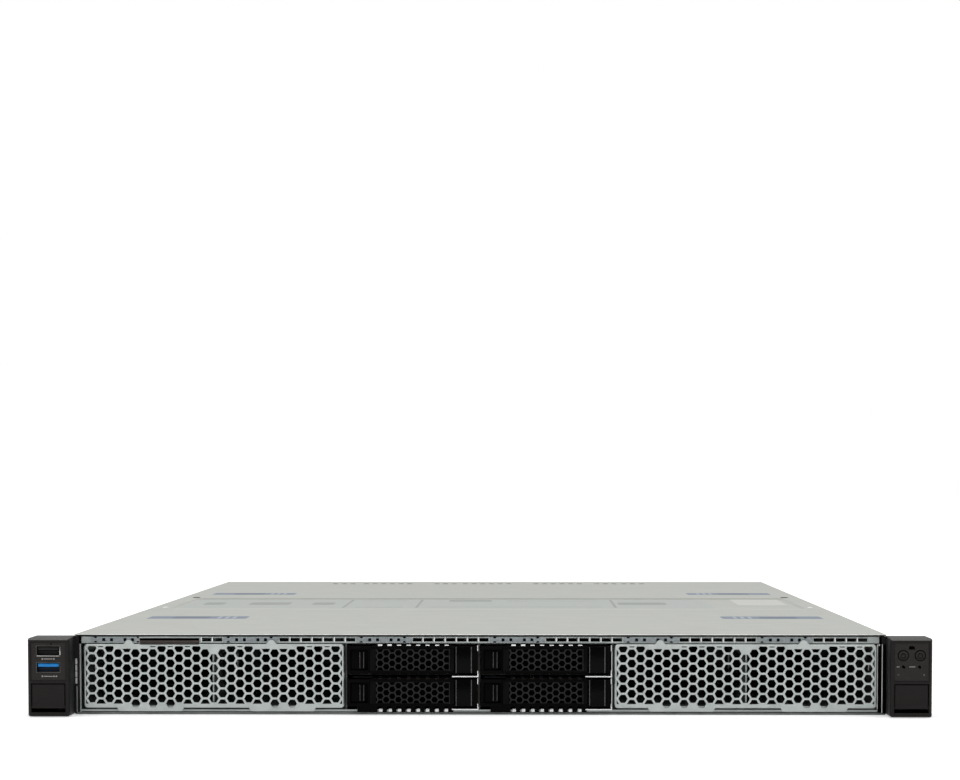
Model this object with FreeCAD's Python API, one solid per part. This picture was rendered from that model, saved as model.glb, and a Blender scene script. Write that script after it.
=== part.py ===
import FreeCAD, Part
import math
import os

# One-unit rack server. Lengths are in millimetres. While a piece is being made, X runs to the right,
# Y runs back from the front plane of the bay frame, and Z runs up from the underside of the pan.
# The finished pieces are moved along Y, so that the origin is at the middle of the whole at its base.

V = FreeCAD.Vector

# ---- the envelope -------------------------------------------------------------------------------
chassis_height = 43.5       # one rack unit less its clearance
chassis_depth = 730.0
pan_sheet = 1.2
cover_sheet = 1.0
frame_sheet = 0.8
seat_gap = 0.3              # between pieces that are taken apart by hand
seam_gap = 0.5              # between the two covers
side_margin = 3.0           # from the outer bays to the outside of the chassis
frame_clearance = 1.4       # between the bay frame and the chassis wall

# ---- the front bays -----------------------------------------------------------------------------
bay_count = 6
bay_gap = 1.4               # between two trays side by side
tray_pitch = 17.8           # between the two rows of drives
strip_bottom = 38.7         # the vent strip over the bays
strip_height = 3.5
sill_bottom = 1.7
sill_top = 2.8
slot_pitch = 6.0
slot_width = 4.8
slot_height = 1.9
slots_per_bay = 7
first_slot = 36.4           # from a bay's left edge to its first slot
patch_middle = 20.0         # from a bay's left edge to the middle of its contact patch
patch_length = 30.4
patch_rise = 0.3
patch_hole = 1.7
patch_holes = (-7.9, -3.7, 3.6, 7.7)

# ---- the vent panels ----------------------------------------------------------------------------
panel_inset = 3.0           # how much narrower a panel is than the two bays that it closes
panel_shift = 0.5           # how far a panel sits towards the drives
panel_sheet = 1.0
panel_bottom = 3.7
panel_top = 38.2
panel_flange = 8.0
panel_corner = 2.0
panel_fold = 0.5
hex_flats = 4.3
hex_pitch = 5.44
hex_rows = 5
first_row = 8.8             # height of the lowest full cell in an even column
panel_rim = 1.1
tongues = ((-51.3, -17.5), (20.2, 53.9))
tongue_bottom = 1.8
tongue_slant = 1.2
tabs = (-46.0, 31.2)
tab_width = 4.4
tab_top = 40.5

# ---- the drive trays ----------------------------------------------------------------------------
rail_sheet = 0.375
tray_bottom = 4.6           # the lower row's face
tray_front = -2.0
bezel_depth = 12.0
bezel_wall = 0.9
drive_width = 69.85
drive_height = 14.8
drive_length = 100.45
rail_height = 11.0
recess = (1.7, 11.4, 1.75, 12.85)
recess_depth = 3.3
release_travel = 2.0
lever_start = 12.1
lever_thick = 3.5
lever_pivot = 56.6
lever_mesh = (16.6, 54.4)
pin_radius = 0.8
pin_clearance = 0.05
castle_pitch = 5.13
castle_count = 8
castle_start = 17.4
castle_gap = 2.3
castle_height = 0.8
foot_reach = 3.1            # how far the lower trays' teeth hang down in front of the sill
foot_start = 5.4
drive_socket = 7.25         # depth of the receptacle on the backplane behind each drive
drive_start = 14.0
lead_height = 28.0          # where a lead leaves the backplane
lead_socket = 7.0
lead_width = 13.0
lead_thick = 2.2

# ---- the rack ears ------------------------------------------------------------------------------
ear_front = -17.4
ear_back = 8.0
ear_bottom = 0.4
ear_top = 42.4
ear_width = 22.0
ear_wall = 1.7
ear_lip_bottom = 15.5
bracket_sheet = 2.0
bracket_reach = 34.0
bracket_leg = 1.5
rack_hole_inset = 8.75      # from the outer edge of an ear
rack_hole_height = 5.9
rack_hole_radius = 3.5
module_bottom = 19.5
module_top = 40.0
module_sheet = 1.6
module_sink = 0.4
chamber_bottom = 2.6
chamber_top = 18.1
flap_sheet = 2.0
flap_hinge_height = 5.5
button_radius = 2.5
button_spread = 4.5
button_height = 33.3
button_flange = 0.9
button_travel = 0.8
usb_heights = (35.55, 26.7)
usb_width = 13.1
usb_height = 5.7
usb_shell = 0.35
usb_length = 14.0

# ---- the service tag ----------------------------------------------------------------------------
tag_left = -183.8
tag_right = -151.4
tag_length = 62.0
tag_lip_top = 40.7
tag_bottom = 39.2
tag_sheet = 1.0

# ---- cooling ------------------------------------------------------------------------------------
fan_count = 7
fan_pitch = 60.0
fan_size = 40.0
fan_depth = 28.0
fan_wall_front = 203.0
fan_wall_sheet = 1.0
fan_floor = 1.6
fan_bore = 19.3
rotor_radius = 18.7
hub_radius = 9.2
blade_count = 5
blade_angle = 38.0
motor_cup = 5.0

# ---- the board ----------------------------------------------------------------------------------
board_bottom = 6.4
board_sheet = 1.6
board_front = 262.0
board_side_gap = 7.0        # from the board's edge to the outside of the chassis
board_shoulder_gap = 23.0   # from the board's shoulder to the power supplies
board_back_gap = 8.0
standoff_flats = 5.5
board_tail_half = 136.0
sink_offset = 107.0
sink_width = 82.0
sink_front = 302.0
sink_length = 108.0
sink_base = 3.0
sink_top = 38.0
fin_pitch = 5.0
fin_sheet = 1.0
socket_height = 5.0
dimm_rows = 2
dimm_pitch = 18.8
dimm_inner = 28.0
dimm_outer = 162.0
dimm_front = 290.0
dimm_length = 133.35
dimm_height = 31.25
dimm_sheet = 1.3
dimm_seat = 2.0

# ---- the covers ---------------------------------------------------------------------------------
cover_split = 272.0         # the seam between the covers, back from the front plane
cover_flange = 9.5
deboss_front = 276.0
deboss_back = 434.0
deboss_inset = 12.0         # from the label field to the side of the cover
deboss_depth = 0.9
deboss_slope = 1.2
vent_row_inset = 38.0       # from the back edge to the middle of the slots
vent_groups = ((-130.0, 3), (-105.0, 6), (-48.0, 3), (-25.0, 6), (32.0, 6), (81.0, 3), (103.0, 3))
vent_pitch = 7.0
vent_slot_width = 4.0
vent_slot_length = 10.0

# ---- the rear -----------------------------------------------------------------------------------
psu_width = 73.5
psu_height = 39.0
psu_length = 185.0
psu_floor = 1.5
psu_side_gap = 0.5
handle_reach = 24.0
handle_thick = 3.2
latch_axis = 1.4            # from the back of the supply to the latch's pivot
slot_window = (10.0, 126.0, 22.6, 40.0)
network_bay = (-124.0, -46.0, 8.4, 20.4)
jack_places = (52.0, 72.0, 92.0)
jack_width = 16.0
jack_height = 13.5
rear_usb_places = (6.0, 26.0)
vga_place = -20.0
rail_hole_radius = 2.1
rail_hole_front = 60.0
rail_hole_back = 30.0
rail_hole_height = 21.7

# ---- worked out from the above ------------------------------------------------------------------
tray_width = drive_width + 2 * rail_sheet
tray_height = drive_height
bay_pitch = tray_width + bay_gap
chassis_width = bay_count * bay_pitch + 2 * side_margin
half_width = chassis_width / 2
inner_half = half_width - pan_sheet
wall_top = chassis_height - cover_sheet - seat_gap
cover_under = chassis_height - cover_sheet
bays_left = -bay_pitch * bay_count / 2
panel_back = -patch_rise    # the panels hang just in front of the strip's contact patches
strip_top = strip_bottom + strip_height
frame_side = inner_half - frame_clearance
panel_width = 2 * bay_pitch - panel_inset
panel_offset = 2 * bay_pitch - panel_shift
cage_depth = drive_start + drive_length + drive_socket
hex_step = hex_pitch * math.sqrt(3) / 2
hex_columns = 2 * int((panel_width / 2 - panel_rim) / hex_step) + 1
ear_inner = half_width + seat_gap
ear_outer = ear_inner + ear_width
rack_hole_span = 2 * (ear_outer - rack_hole_inset)
module_half = ear_width / 2 - ear_wall
module_middle = ear_inner + (ear_outer - ear_inner) / 2 + 0.1
fan_front = fan_wall_front + fan_wall_sheet + seat_gap
board_top = board_bottom + board_sheet
psu_front = chassis_depth - psu_length
board_half = half_width - board_side_gap
board_shoulder = psu_front - board_shoulder_gap
board_back = chassis_depth - board_back_gap
deboss_half = half_width - deboss_inset
vent_row = chassis_depth - vent_row_inset
rail_hole_span = chassis_depth - rail_hole_front - rail_hole_back
psu_outer = inner_half - psu_side_gap
psu_inner = psu_outer - psu_width
origin_back = (ear_front + chassis_depth + handle_reach) / 2
eps = 0.01


# ---- small helpers ------------------------------------------------------------------------------
def block(x, y, z):
    """A box from (low, high) pairs along each axis."""
    return Part.makeBox(x[1] - x[0], y[1] - y[0], z[1] - z[0], V(x[0], y[0], z[0]))


def rod(start, direction, radius, length):
    return Part.makeCylinder(radius, length, V(*start), V(*direction))


def joined(pieces):
    first = pieces[0]
    whole = first.fuse(pieces[1:]) if len(pieces) > 1 else first
    return whole.removeSplitter()


def without(shape, tools):
    return shape.cut(Part.makeCompound(tools)) if tools else shape


def place(point, along, at):
    """A point of a flat outline, set on the plane that is square to one axis."""
    a, b = point
    return {"x": V(at, a, b), "y": V(a, at, b), "z": V(a, b, at)}[along]


def outline(points, along, at):
    """A closed wire through (a, b) or (a, b, corner radius) points."""
    count = len(points)
    corners = []
    for i, point in enumerate(points):
        here = place(point[:2], along, at)
        radius = point[2] if len(point) > 2 else 0.0
        if not radius:
            corners.append((here, here, None))
            continue
        before = place(points[i - 1][:2], along, at) - here
        after = place(points[(i + 1) % count][:2], along, at) - here
        before.normalize()
        after.normalize()
        half = before.getAngle(after) / 2
        inward = before + after
        inward.normalize()
        middle = here + inward * (radius / math.sin(half))
        corners.append((here + before * (radius / math.tan(half)), here + after * (radius / math.tan(half)),
                        middle - inward * radius))
    edges = []
    for i, (start, end, crown) in enumerate(corners):
        if crown is not None:
            edges.append(Part.Arc(start, crown, end).toShape())
        following = corners[(i + 1) % count][0]
        if end.distanceToPoint(following) > 1e-6:
            edges.append(Part.LineSegment(end, following).toShape())
    return Part.Wire(edges)


def plate(points, along, start, thick, holes=()):
    """A flat sheet square to one axis. The holes are lists of outline points, or (a, b, radius) circles."""
    wires = [outline(points, along, start)]
    normal = {"x": V(1, 0, 0), "y": V(0, 1, 0), "z": V(0, 0, 1)}[along]
    for hole in holes:
        if isinstance(hole, tuple):
            wires.append(Part.Wire(Part.makeCircle(hole[2], place(hole[:2], along, start), normal)))
        else:
            wires.append(outline(hole, along, start))
    face = Part.makeFace(wires, "Part::FaceMakerBullseye") if holes else Part.Face(wires[0])
    return face.extrude(normal * thick)


def rectangle(a, b, radius=0.0):
    low, high = a
    return [(low, b[0], radius), (high, b[0], radius), (high, b[1], radius), (low, b[1], radius)]


def cut_corners(a, b, cut):
    """A rectangle with its corners taken off."""
    low, high = a
    foot, head = b
    return [(low + cut, foot), (high - cut, foot), (high, foot + cut), (high, head - cut),
            (high - cut, head), (low + cut, head), (low, head - cut), (low, foot + cut)]


def mirrored(shape):
    return shape.mirror(V(0, 0, 0), V(1, 0, 0))


def clipped(polygon, a, b):
    """A convex polygon kept inside a rectangle."""
    sides = ((0, a[0], 1), (0, a[1], -1), (1, b[0], 1), (1, b[1], -1))
    for axis, limit, sign in sides:
        kept = []
        for i, point in enumerate(polygon):
            last = polygon[i - 1]
            inside, last_inside = sign * (point[axis] - limit) >= 0, sign * (last[axis] - limit) >= 0
            if inside != last_inside:
                share = (limit - last[axis]) / (point[axis] - last[axis])
                kept.append((last[0] + share * (point[0] - last[0]), last[1] + share * (point[1] - last[1])))
            if inside:
                kept.append(point)
        polygon = kept
        if not polygon:
            return []
    return polygon


def hexagon(a, b, flats):
    """A cell with level top and bottom sides."""
    reach = flats / math.sqrt(3)
    turns = [math.radians(60 * k) for k in range(6)]
    return [(a + reach * math.cos(t), b + reach * math.sin(t)) for t in turns]


def ring_of_points(radius, count):
    return [(radius * math.sin(math.tau * k / count), radius * math.cos(math.tau * k / count)) for k in range(count)]


def cell_area(polygon):
    total = 0.0
    for i, (a, b) in enumerate(polygon):
        total += polygon[i - 1][0] * b - a * polygon[i - 1][1]
    return abs(total) / 2


def punches(polygons, start, depth):
    return [plate(p, "y", start, depth) for p in polygons]


def bent_run(points):
    """A path of straight runs with an arc at each turn, as large as its two runs allow."""
    spots = [V(*p) for p in points]
    edges, start = [], spots[0]
    for i in range(1, len(spots) - 1):
        before, after = spots[i - 1] - spots[i], spots[i + 1] - spots[i]
        runs = min(before.Length, after.Length)
        before.normalize()
        after.normalize()
        half = before.getAngle(after) / 2
        radius = 0.45 * runs * math.tan(half)
        inward = before + after
        inward.normalize()
        crown = spots[i] + inward * (radius / math.sin(half) - radius)
        first = spots[i] + before * (radius / math.tan(half))
        last = spots[i] + after * (radius / math.tan(half))
        edges += [Part.LineSegment(start, first).toShape(), Part.Arc(first, crown, last).toShape()]
        start = last
    edges.append(Part.LineSegment(start, spots[-1]).toShape())
    return Part.Wire(edges)


def flat_lead(points, width, thick):
    """A flat lead whose middle line lies in one plane square to X."""
    path = bent_run(points)
    x, y, z = points[0]
    section = outline(rectangle((x - width / 2, x + width / 2), (z - thick / 2, z + thick / 2)), "y", y)
    return path.makePipeShell([section], True, False)


# ---- chassis ------------------------------------------------------------------------------------
def side_wall():
    """The left wall, with a line of screw holes for a rail."""
    holes = [(rail_hole_front + step, rail_hole_height, rail_hole_radius) for step in (0, rail_hole_span)]
    return plate(rectangle((0, chassis_depth), (0, wall_top)), "x", -half_width, pan_sheet, holes)


def rear_panel():
    """The middle of the back, between the power supplies, with a window for each port and card."""
    low, high, floor, roof = slot_window
    half = psu_inner - seat_gap
    port_floor = board_top - 0.2
    holes = [rectangle((low, high), (floor, roof)), rectangle((-high, -low), (floor, roof)),
             rectangle(network_bay[:2], network_bay[2:])]
    for x in jack_places:
        holes.append(rectangle((x - jack_width / 2 - 0.3, x + jack_width / 2 + 0.3),
                               (port_floor, board_top + jack_height + 0.4)))
    for x in rear_usb_places:
        holes.append(rectangle((x - usb_width / 2 - 0.3, x + usb_width / 2 + 0.3),
                               (port_floor, board_top + usb_height + 0.7)))
    holes.append(rectangle((vga_place - 9.0, vga_place + 9.0), (port_floor + 1.2, board_top + 11.0)))
    back = chassis_depth - pan_sheet
    wall = plate(rectangle((-half, half), (pan_sheet, wall_top)), "y", back, pan_sheet, holes)
    fold = half - frame_sheet - seat_gap
    foot = block((-fold, fold), (back - 8.0, back + eps), (pan_sheet, pan_sheet + pan_sheet))
    head = block((-fold, fold), (back - 8.0, back + eps), (wall_top - pan_sheet, wall_top))
    return joined([wall, foot, head])


def standoff_places():
    side, tail = board_half - 12.0, board_tail_half - 8.0
    front = [(x, y) for x in (-side, 0.0, side) for y in (board_front + 8.0, board_shoulder - 10.0)]
    back = [(x, y) for x in (-tail, tail) for y in (board_back - 122.0, board_back - 22.0)]
    return front + back


def chassis_pan():
    """One folded sheet, floor and both sides, with six-sided standoffs pressed into the floor."""
    floor = block((-half_width, half_width), (0, chassis_depth), (0, pan_sheet))
    left = side_wall()
    pillars = [plate(hexagon(x, y, standoff_flats), "z", pan_sheet - eps, board_bottom - pan_sheet + eps)
               for x, y in standoff_places()]
    return joined([floor, left, mirrored(left)] + pillars)


# ---- bay frame ----------------------------------------------------------------------------------
def strip_holes():
    """Slots and small square holes along the vent strip, left out where the service tag is."""
    middle = strip_bottom + strip_height / 2
    holes = []
    for bay in range(bay_count):
        left = bays_left + bay * bay_pitch
        for k in range(slots_per_bay):
            x = left + first_slot + k * slot_pitch
            if x > tag_left - slot_width - 1 and x < tag_right + 1 or x + slot_width > -bays_left - 1:
                continue
            holes.append(rectangle((x, x + slot_width), (middle - slot_height / 2, middle + slot_height / 2)))
        for step in patch_holes:
            x = left + patch_middle + step
            holes.append(rectangle((x - patch_hole / 2, x + patch_hole / 2),
                                   (middle - patch_hole / 2, middle + patch_hole / 2)))
    return holes


def contact_patches():
    """A raised spring strip at each bay, notched at its quarter points and cut short beside the tag."""
    middle = strip_bottom + strip_height / 2
    half = patch_length / 2
    notch = 11.7
    patches = []
    for bay in range(bay_count):
        x = bays_left + bay * bay_pitch + patch_middle
        low, high = strip_bottom + 0.1, strip_top - 0.1
        edge = [(x - half, low)]
        for side in (-notch, notch):
            edge += [(x + side - 0.8, low), (x + side, low + 0.6), (x + side + 0.8, low)]
        edge += [(x + half, low), (x + half, high)]
        for side in (notch, -notch):
            edge += [(x + side + 0.8, high), (x + side, high - 0.6), (x + side - 0.8, high)]
        edge += [(x - half, high)]
        holes = [rectangle((x + s - patch_hole / 2, x + s + patch_hole / 2),
                           (middle - patch_hole / 2, middle + patch_hole / 2)) for s in patch_holes]
        patches.append(plate(edge, "y", -patch_rise, patch_rise + eps, holes))
    return patches


def spare_bay_divider():
    """The wall between two unused bays, cut back at the front for the vent panel's folds."""
    top = strip_top - frame_sheet
    nose = panel_flange + 1.0
    edge = [(1.0, panel_bottom + panel_sheet + 1.0), (nose, panel_bottom + panel_sheet + 1.0),
            (nose, pan_sheet), (148.0, pan_sheet), (148.0, top), (nose, top),
            (nose, panel_top - panel_sheet - 1.0), (1.0, panel_top - panel_sheet - 1.0)]
    web = plate(edge, "x", -frame_sheet / 2, frame_sheet, [cut_corners((40.0, 120.0), (12.0, 30.0), 5.0)])
    foot = block((0, 10.0), (30.0, 130.0), (pan_sheet, pan_sheet + frame_sheet))
    return joined([web, foot])


def tag_guide():
    """The channel that the service tag slides in, under the cover."""
    wall = frame_sheet
    floor_low = panel_top + 0.2
    left, right = tag_left - 0.1, tag_right + 0.1
    sides = [block((x, x + wall), (frame_sheet, tag_length), (floor_low, strip_top - frame_sheet))
             for x in (left - wall, right)]
    floor = block((left - wall, right + wall), (frame_sheet, tag_length), (floor_low, floor_low + 0.6))
    return joined([floor] + sides)


def bay_frame():
    side = frame_side
    strip = plate(rectangle((-side, side), (strip_bottom, strip_top)), "y", 0, frame_sheet, strip_holes())
    window = block((tag_left, tag_right), (-1, frame_sheet + 0.1), (strip_bottom - 1, strip_top - frame_sheet))
    roof = block((-side, side), (frame_sheet / 2, 12.0), (strip_top - frame_sheet, strip_top))
    sill = block((-side, side), (0, frame_sheet), (sill_bottom, sill_top))
    base = block((-side, side), (frame_sheet / 2, frame_sheet + 7.0), (pan_sheet, pan_sheet + frame_sheet))
    posts = [block((x, x + frame_sheet), (0, 20.0), (sill_bottom, strip_top)) for x in (-side, side - frame_sheet)]
    folded = joined([strip, roof, sill, base] + posts + contact_patches()).cut(window)
    dividers = [spare_bay_divider().translated(V(x, 0, 0)) for x in (-2 * bay_pitch, 2 * bay_pitch)]
    return [folded, tag_guide()] + dividers


# ---- vent panels --------------------------------------------------------------------------------
def panel_cells():
    """The punched field: offset columns of hexagons, cut short along the top and bottom edges."""
    middle = (hex_columns - 1) // 2
    sides = (-panel_width / 2 + panel_rim, panel_width / 2 - panel_rim)
    cells = []
    for column in range(-1, hex_columns + 1):
        x = (column - middle) * hex_step
        even = column % 2 == 0
        base = first_row if even else first_row + hex_pitch / 2
        by_tab = any(abs(x - tab - 1.5) < 2.2 * hex_step for tab in tabs)
        over_tongue = any(low + 8.0 < x < high - 5.0 for low, high in tongues)
        roof = panel_top - panel_rim if not by_tab else panel_top - 2.5
        floor = tongue_bottom + panel_rim if over_tongue else panel_bottom + 2.2
        top_row = hex_rows if column != middle else hex_rows - 1
        first = 0 if even else -1
        for row in range(first, top_row + 1):
            if not even and row == hex_rows and (by_tab or abs(column - middle) == 1):
                continue
            cell = clipped(hexagon(x, base + row * hex_pitch, hex_flats), sides, (floor, roof))
            if len(cell) > 2 and cell_area(cell) > 0.9:
                cells.append(cell)
    return cells


def vent_panel():
    """A folded blank: front face, four folds that enter the bay, tongues at the foot and tabs at the head."""
    half = panel_width / 2
    front = panel_back - panel_sheet
    body = plate(rectangle((-half, half), (panel_bottom, panel_top), panel_corner), "y", front,
                 panel_sheet + panel_flange)
    body = body.makeChamfer(panel_fold, [e for e in body.Edges if abs(e.CenterOfMass.y - front) < 1e-6])
    hollow = plate(rectangle((-half + panel_sheet, half - panel_sheet),
                             (panel_bottom + panel_sheet, panel_top - panel_sheet), panel_corner - panel_sheet),
                   "y", panel_back, panel_flange + 1)
    extras = []
    for low, high in tongues:
        edge = [(low - tongue_slant, panel_bottom + 1.0), (low - tongue_slant, panel_bottom), (low, tongue_bottom),
                (high, tongue_bottom), (high + tongue_slant, panel_bottom), (high + tongue_slant, panel_bottom + 1.0)]
        extras.append(plate(edge, "y", front, panel_sheet))
    for tab in tabs:
        reach = tab_width / 2
        edge = [(tab - reach - 1.2, panel_top - 1.4), (tab + reach + 1.2, panel_top - 1.4),
                (tab + reach + 0.9, panel_top), (tab + reach, panel_top + 0.7),
                (tab + reach, tab_top, reach * 0.98), (tab - reach, tab_top, reach * 0.98),
                (tab - reach, panel_top + 0.7), (tab - reach - 0.9, panel_top)]
        extras.append(plate(edge, "y", front, panel_sheet))
    folded = joined([body.cut(hollow)] + extras)
    return without(folded, punches(panel_cells(), front - 0.5, panel_sheet + 1.0))


# ---- drive cage and backplane -------------------------------------------------------------------
def tray_left(bay):
    return bays_left + bay * bay_pitch + (bay_pitch - tray_width) / 2


def drive_bays():
    """(name number, left edge of the tray, height of its face) for the four drives."""
    places = []
    for bay in (2, 3):
        for row in (1, 0):
            places.append((len(places) + 1, tray_left(bay), tray_bottom + row * tray_pitch))
    return places


def drive_cage():
    """Three walls, a vented roof and floor, and a shelf between the two rows of drives."""
    walls = []
    thick = frame_sheet
    floor_top = pan_sheet + thick
    roof = strip_bottom - 0.5
    for k in (-1, 0, 1):
        x = k * bay_pitch
        walls.append(block((x - thick / 2, x + thick / 2), (1.0, cage_depth), (floor_top + 0.2, roof + eps)))
        walls.append(block((x - thick / 2, x + thick / 2), (9.0, cage_depth), (pan_sheet + eps, floor_top + 0.3)))
    reach = bay_pitch + thick / 2
    vents = [rectangle((x - 12.0, x + 12.0), (y, y + 16.0)) for x in (-54.0, -18.0, 18.0, 54.0) for y in (40.0, 74.0)]
    cover = plate(rectangle((-reach, reach), (12.0, cage_depth)), "z", roof, thick, vents)
    base = plate(rectangle((-reach, reach), (9.0, cage_depth)), "z", pan_sheet, thick)
    lip_low = tray_bottom + tray_pitch + drive_height + 0.4
    lip = block((-reach, reach), (bezel_depth, bezel_depth + thick), (lip_low, roof + eps))
    shelf_low = tray_bottom + tray_height + 1.0
    shelf_parts = []
    for k in (-1, 0):
        left, right = k * bay_pitch + thick / 2 - eps, (k + 1) * bay_pitch - thick / 2 + eps
        shelf_parts.append(plate(rectangle((left, right), (14.0, cage_depth - 8.0)), "z", shelf_low, thick,
                                 [rectangle((left + 14.0, right - 14.0), (36.0, 92.0))]))
        shelf_parts.append(block((right - 12.2, right - 3.0), (2.0, 15.0), (shelf_low, shelf_low + thick)))
        shelf_parts.append(block((right - 12.2, right), (1.0, 9.5), (floor_top + 0.2, floor_top + 0.2 + thick)))
    return joined(walls + [cover, base, lip] + shelf_parts)


def drive_backplane():
    """The board behind the drives, a receptacle for each drive and two sockets for the leads."""
    start = cage_depth + seat_gap
    vents = [rectangle((x - 9.0, x + 9.0), (19.2, 21.6)) for x in (-54.0, -18.0, 18.0, 54.0)]
    board = plate(rectangle((-bay_pitch, bay_pitch), (pan_sheet, 38.2)), "y", start, board_sheet, vents)
    sockets = []
    drive_end = drive_start + drive_length
    for _, left, floor in drive_bays():
        middle = left + tray_width / 2
        sockets.append(block((middle - 16.5, middle + 16.5), (drive_end + seat_gap, start + eps),
                             (floor + 3.6, floor + 8.6)))
    back = start + board_sheet
    for x in lead_places():
        sockets.append(block((x - 9.0, x + 9.0), (back - eps, back + lead_socket), (lead_height - 3.0, lead_height + 3.0)))
    return joined([board] + sockets)


def lead_places():
    """The leads run through the gaps beside the middle fan."""
    return (-fan_pitch / 2, fan_pitch / 2)


# ---- drive trays --------------------------------------------------------------------------------
def castle_ridges(front, back):
    """The teeth along the top and the foot of a bezel, between evenly spaced gaps."""
    ridges = []
    for k in range(castle_count + 1):
        x = castle_start + (k - 1) * castle_pitch
        for z in ((tray_height - eps, tray_height + castle_height), (-castle_height, eps)):
            ridges.append(block((x + castle_gap / 2, x + castle_pitch - castle_gap / 2), (front, back), z))
    return ridges


def foot_teeth(front):
    """The lower trays' teeth, which hang down in front of the sill, with a broad one at the left."""
    back = -seat_gap
    first = castle_start - castle_gap / 2
    teeth = [block((foot_start, first), (front, back), (-foot_reach, eps))]
    for k in range(castle_count):
        x = castle_start + k * castle_pitch
        teeth.append(block((x + castle_gap / 2, x + castle_pitch - castle_gap / 2), (front, back), (-foot_reach, eps)))
    return teeth


def tray(is_low):
    """A tray at its own corner: bezel, two rails and the pin that the lever turns on."""
    front, wall = tray_front, bezel_wall
    back = front + bezel_depth
    body = block((0, tray_width), (front, back), (0, tray_height))
    body = body.makeChamfer(0.4, [e for e in body.Edges if abs(e.CenterOfMass.y - front) < 1e-6
                                  and abs(e.Length - tray_width) < 1e-6])
    low, high, floor, roof = recess
    dish = block((low, high), (front - 1, front + recess_depth), (floor, roof))
    pocket = block((lever_start - 0.3, lever_pivot + 2.2), (front - 1, front + lever_thick + 0.5),
                   (wall, tray_height - wall))
    window = block((lever_start + 3.0, lever_pivot - 2.0), (front, back + 1), (wall + 1.4, tray_height - wall - 1.4))
    panel = block((59.8, 67.2), (front - 1, front + 0.5), (0.8, tray_height - 0.8))
    pin = rod((lever_pivot, front + lever_thick / 2, wall / 2), (0, 0, 1), pin_radius, tray_height - wall)
    ridges = castle_ridges(front + 0.6, back) + (foot_teeth(front + 0.6) if is_low else [])
    rails = [block((x, x + rail_sheet), (back - 1.0, drive_start + drive_length - 1.0), (1.6, 1.6 + rail_height))
             for x in (0, tray_width - rail_sheet)]
    return joined([without(body, [dish, pocket, window, panel]), pin] + ridges + rails)


def drive():
    """A 2.5 inch drive: a case with a stepped lid and a connector notch at the back."""
    left, right = rail_sheet, rail_sheet + drive_width
    foot, head = 0.2, drive_height + 0.1
    edge = [(left, foot), (right, foot), (right, head - 1.2), (right - 1.6, head), (left + 1.6, head),
            (left, head - 1.2)]
    case = plate(edge, "y", drive_start, drive_length)
    end = drive_start + drive_length
    notch = block((left + 15.0, right - 15.0), (end - 4.0, end + 1), (-1.0, 3.2))
    well = block((left + 8.0, right - 8.0), (drive_start + 12.0, end - 14.0), (head - 0.6, head + 1))
    return without(case, [notch, well])


def lever():
    """The latch lever: a grip plate over a thin web, ending in a barrel round the tray's pin."""
    floor, roof = bezel_wall + 0.2, tray_height - bezel_wall - 0.2
    front = tray_front
    middle = front + lever_thick / 2
    grip = block((lever_start, lever_pivot), (front, front + lever_thick), (floor, roof))
    barrel = rod((lever_pivot, middle, floor), (0, 0, 1), lever_thick / 2, roof - floor)
    scoop = block((lever_mesh[0], lever_mesh[1]), (front + 1.4, front + lever_thick + 1), (floor + 0.8, roof - 0.8))
    dish = block((lever_mesh[0], lever_mesh[1]), (front - 1, front + 0.4), (floor + 0.7, roof - 0.7))
    bore = rod((lever_pivot, middle, floor - 1), (0, 0, 1), pin_radius + pin_clearance, roof - floor + 2)
    return without(joined([grip, barrel]), [scoop, dish, bore])


def release():
    """The sliding release: a flat pad with a thumb ridge at its right edge."""
    low, high, floor, roof = recess
    front = tray_front + 0.9
    back = tray_front + recess_depth - seat_gap
    pad = block((low + 0.3, high - 0.2 - release_travel), (front, back), (floor + 0.3, roof - 0.3))
    ridge = block((high - 2.2 - release_travel, high - 0.2 - release_travel),
                  (tray_front + 0.15, front + 0.5), (floor + 1.2, roof - 1.2))
    return joined([pad, ridge])


# ---- rack ears ----------------------------------------------------------------------------------
def ear_housing():
    """The left ear's moulding: a pocket for the module over a chamber for the rack screw."""
    edge = cut_corners((-ear_outer, -ear_inner), (ear_front, ear_back), 0.8)
    body = plate(edge, "z", ear_bottom, ear_top - ear_bottom)
    body = body.makeChamfer(0.5, [e for e in body.Edges if abs(e.CenterOfMass.z - ear_top) < 1e-6
                                  or abs(e.CenterOfMass.z - ear_bottom) < 1e-6])
    pocket = block((-module_middle - module_half, -module_middle + module_half), (ear_front - 1, ear_back - 2.0),
                   (module_bottom, module_top))
    chamber = block((-module_middle - module_half + 0.1, -module_middle + module_half - 0.1),
                    (ear_front - 1, ear_back - 2.0), (chamber_bottom, chamber_top))
    screw = plate(hexagon(-rack_hole_span / 2, rack_hole_height, 2 * rack_hole_radius + 3.0), "y", ear_back - 4, 6)
    hinge = rod((-ear_outer + 0.6, ear_front + flap_sheet / 2 + 0.2, flap_hinge_height), (1, 0, 0),
                pin_radius + pin_clearance, ear_outer - ear_inner - 1.2)
    lip = block((-ear_inner - 0.5, -frame_side - 0.15), (-1.0, 0), (ear_lip_bottom, ear_top))
    return joined([without(body, [pocket, chamber, screw, hinge]), lip])


def ear_bracket():
    """The left bracket: the plate that meets the rack post, folded on to the chassis side."""
    back = ear_back + bracket_sheet
    face = plate(rectangle((-ear_outer + 0.4, -half_width), (ear_bottom + 0.4, ear_top - 0.4)), "y", ear_back,
                 bracket_sheet, [(-rack_hole_span / 2, rack_hole_height, rack_hole_radius)])
    leg = plate(cut_corners((ear_back + eps, back + bracket_reach), (ear_bottom + 1.0, ear_top - 1.0), 2.0), "x",
                -half_width - bracket_leg, bracket_leg)
    return joined([face, leg])


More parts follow.
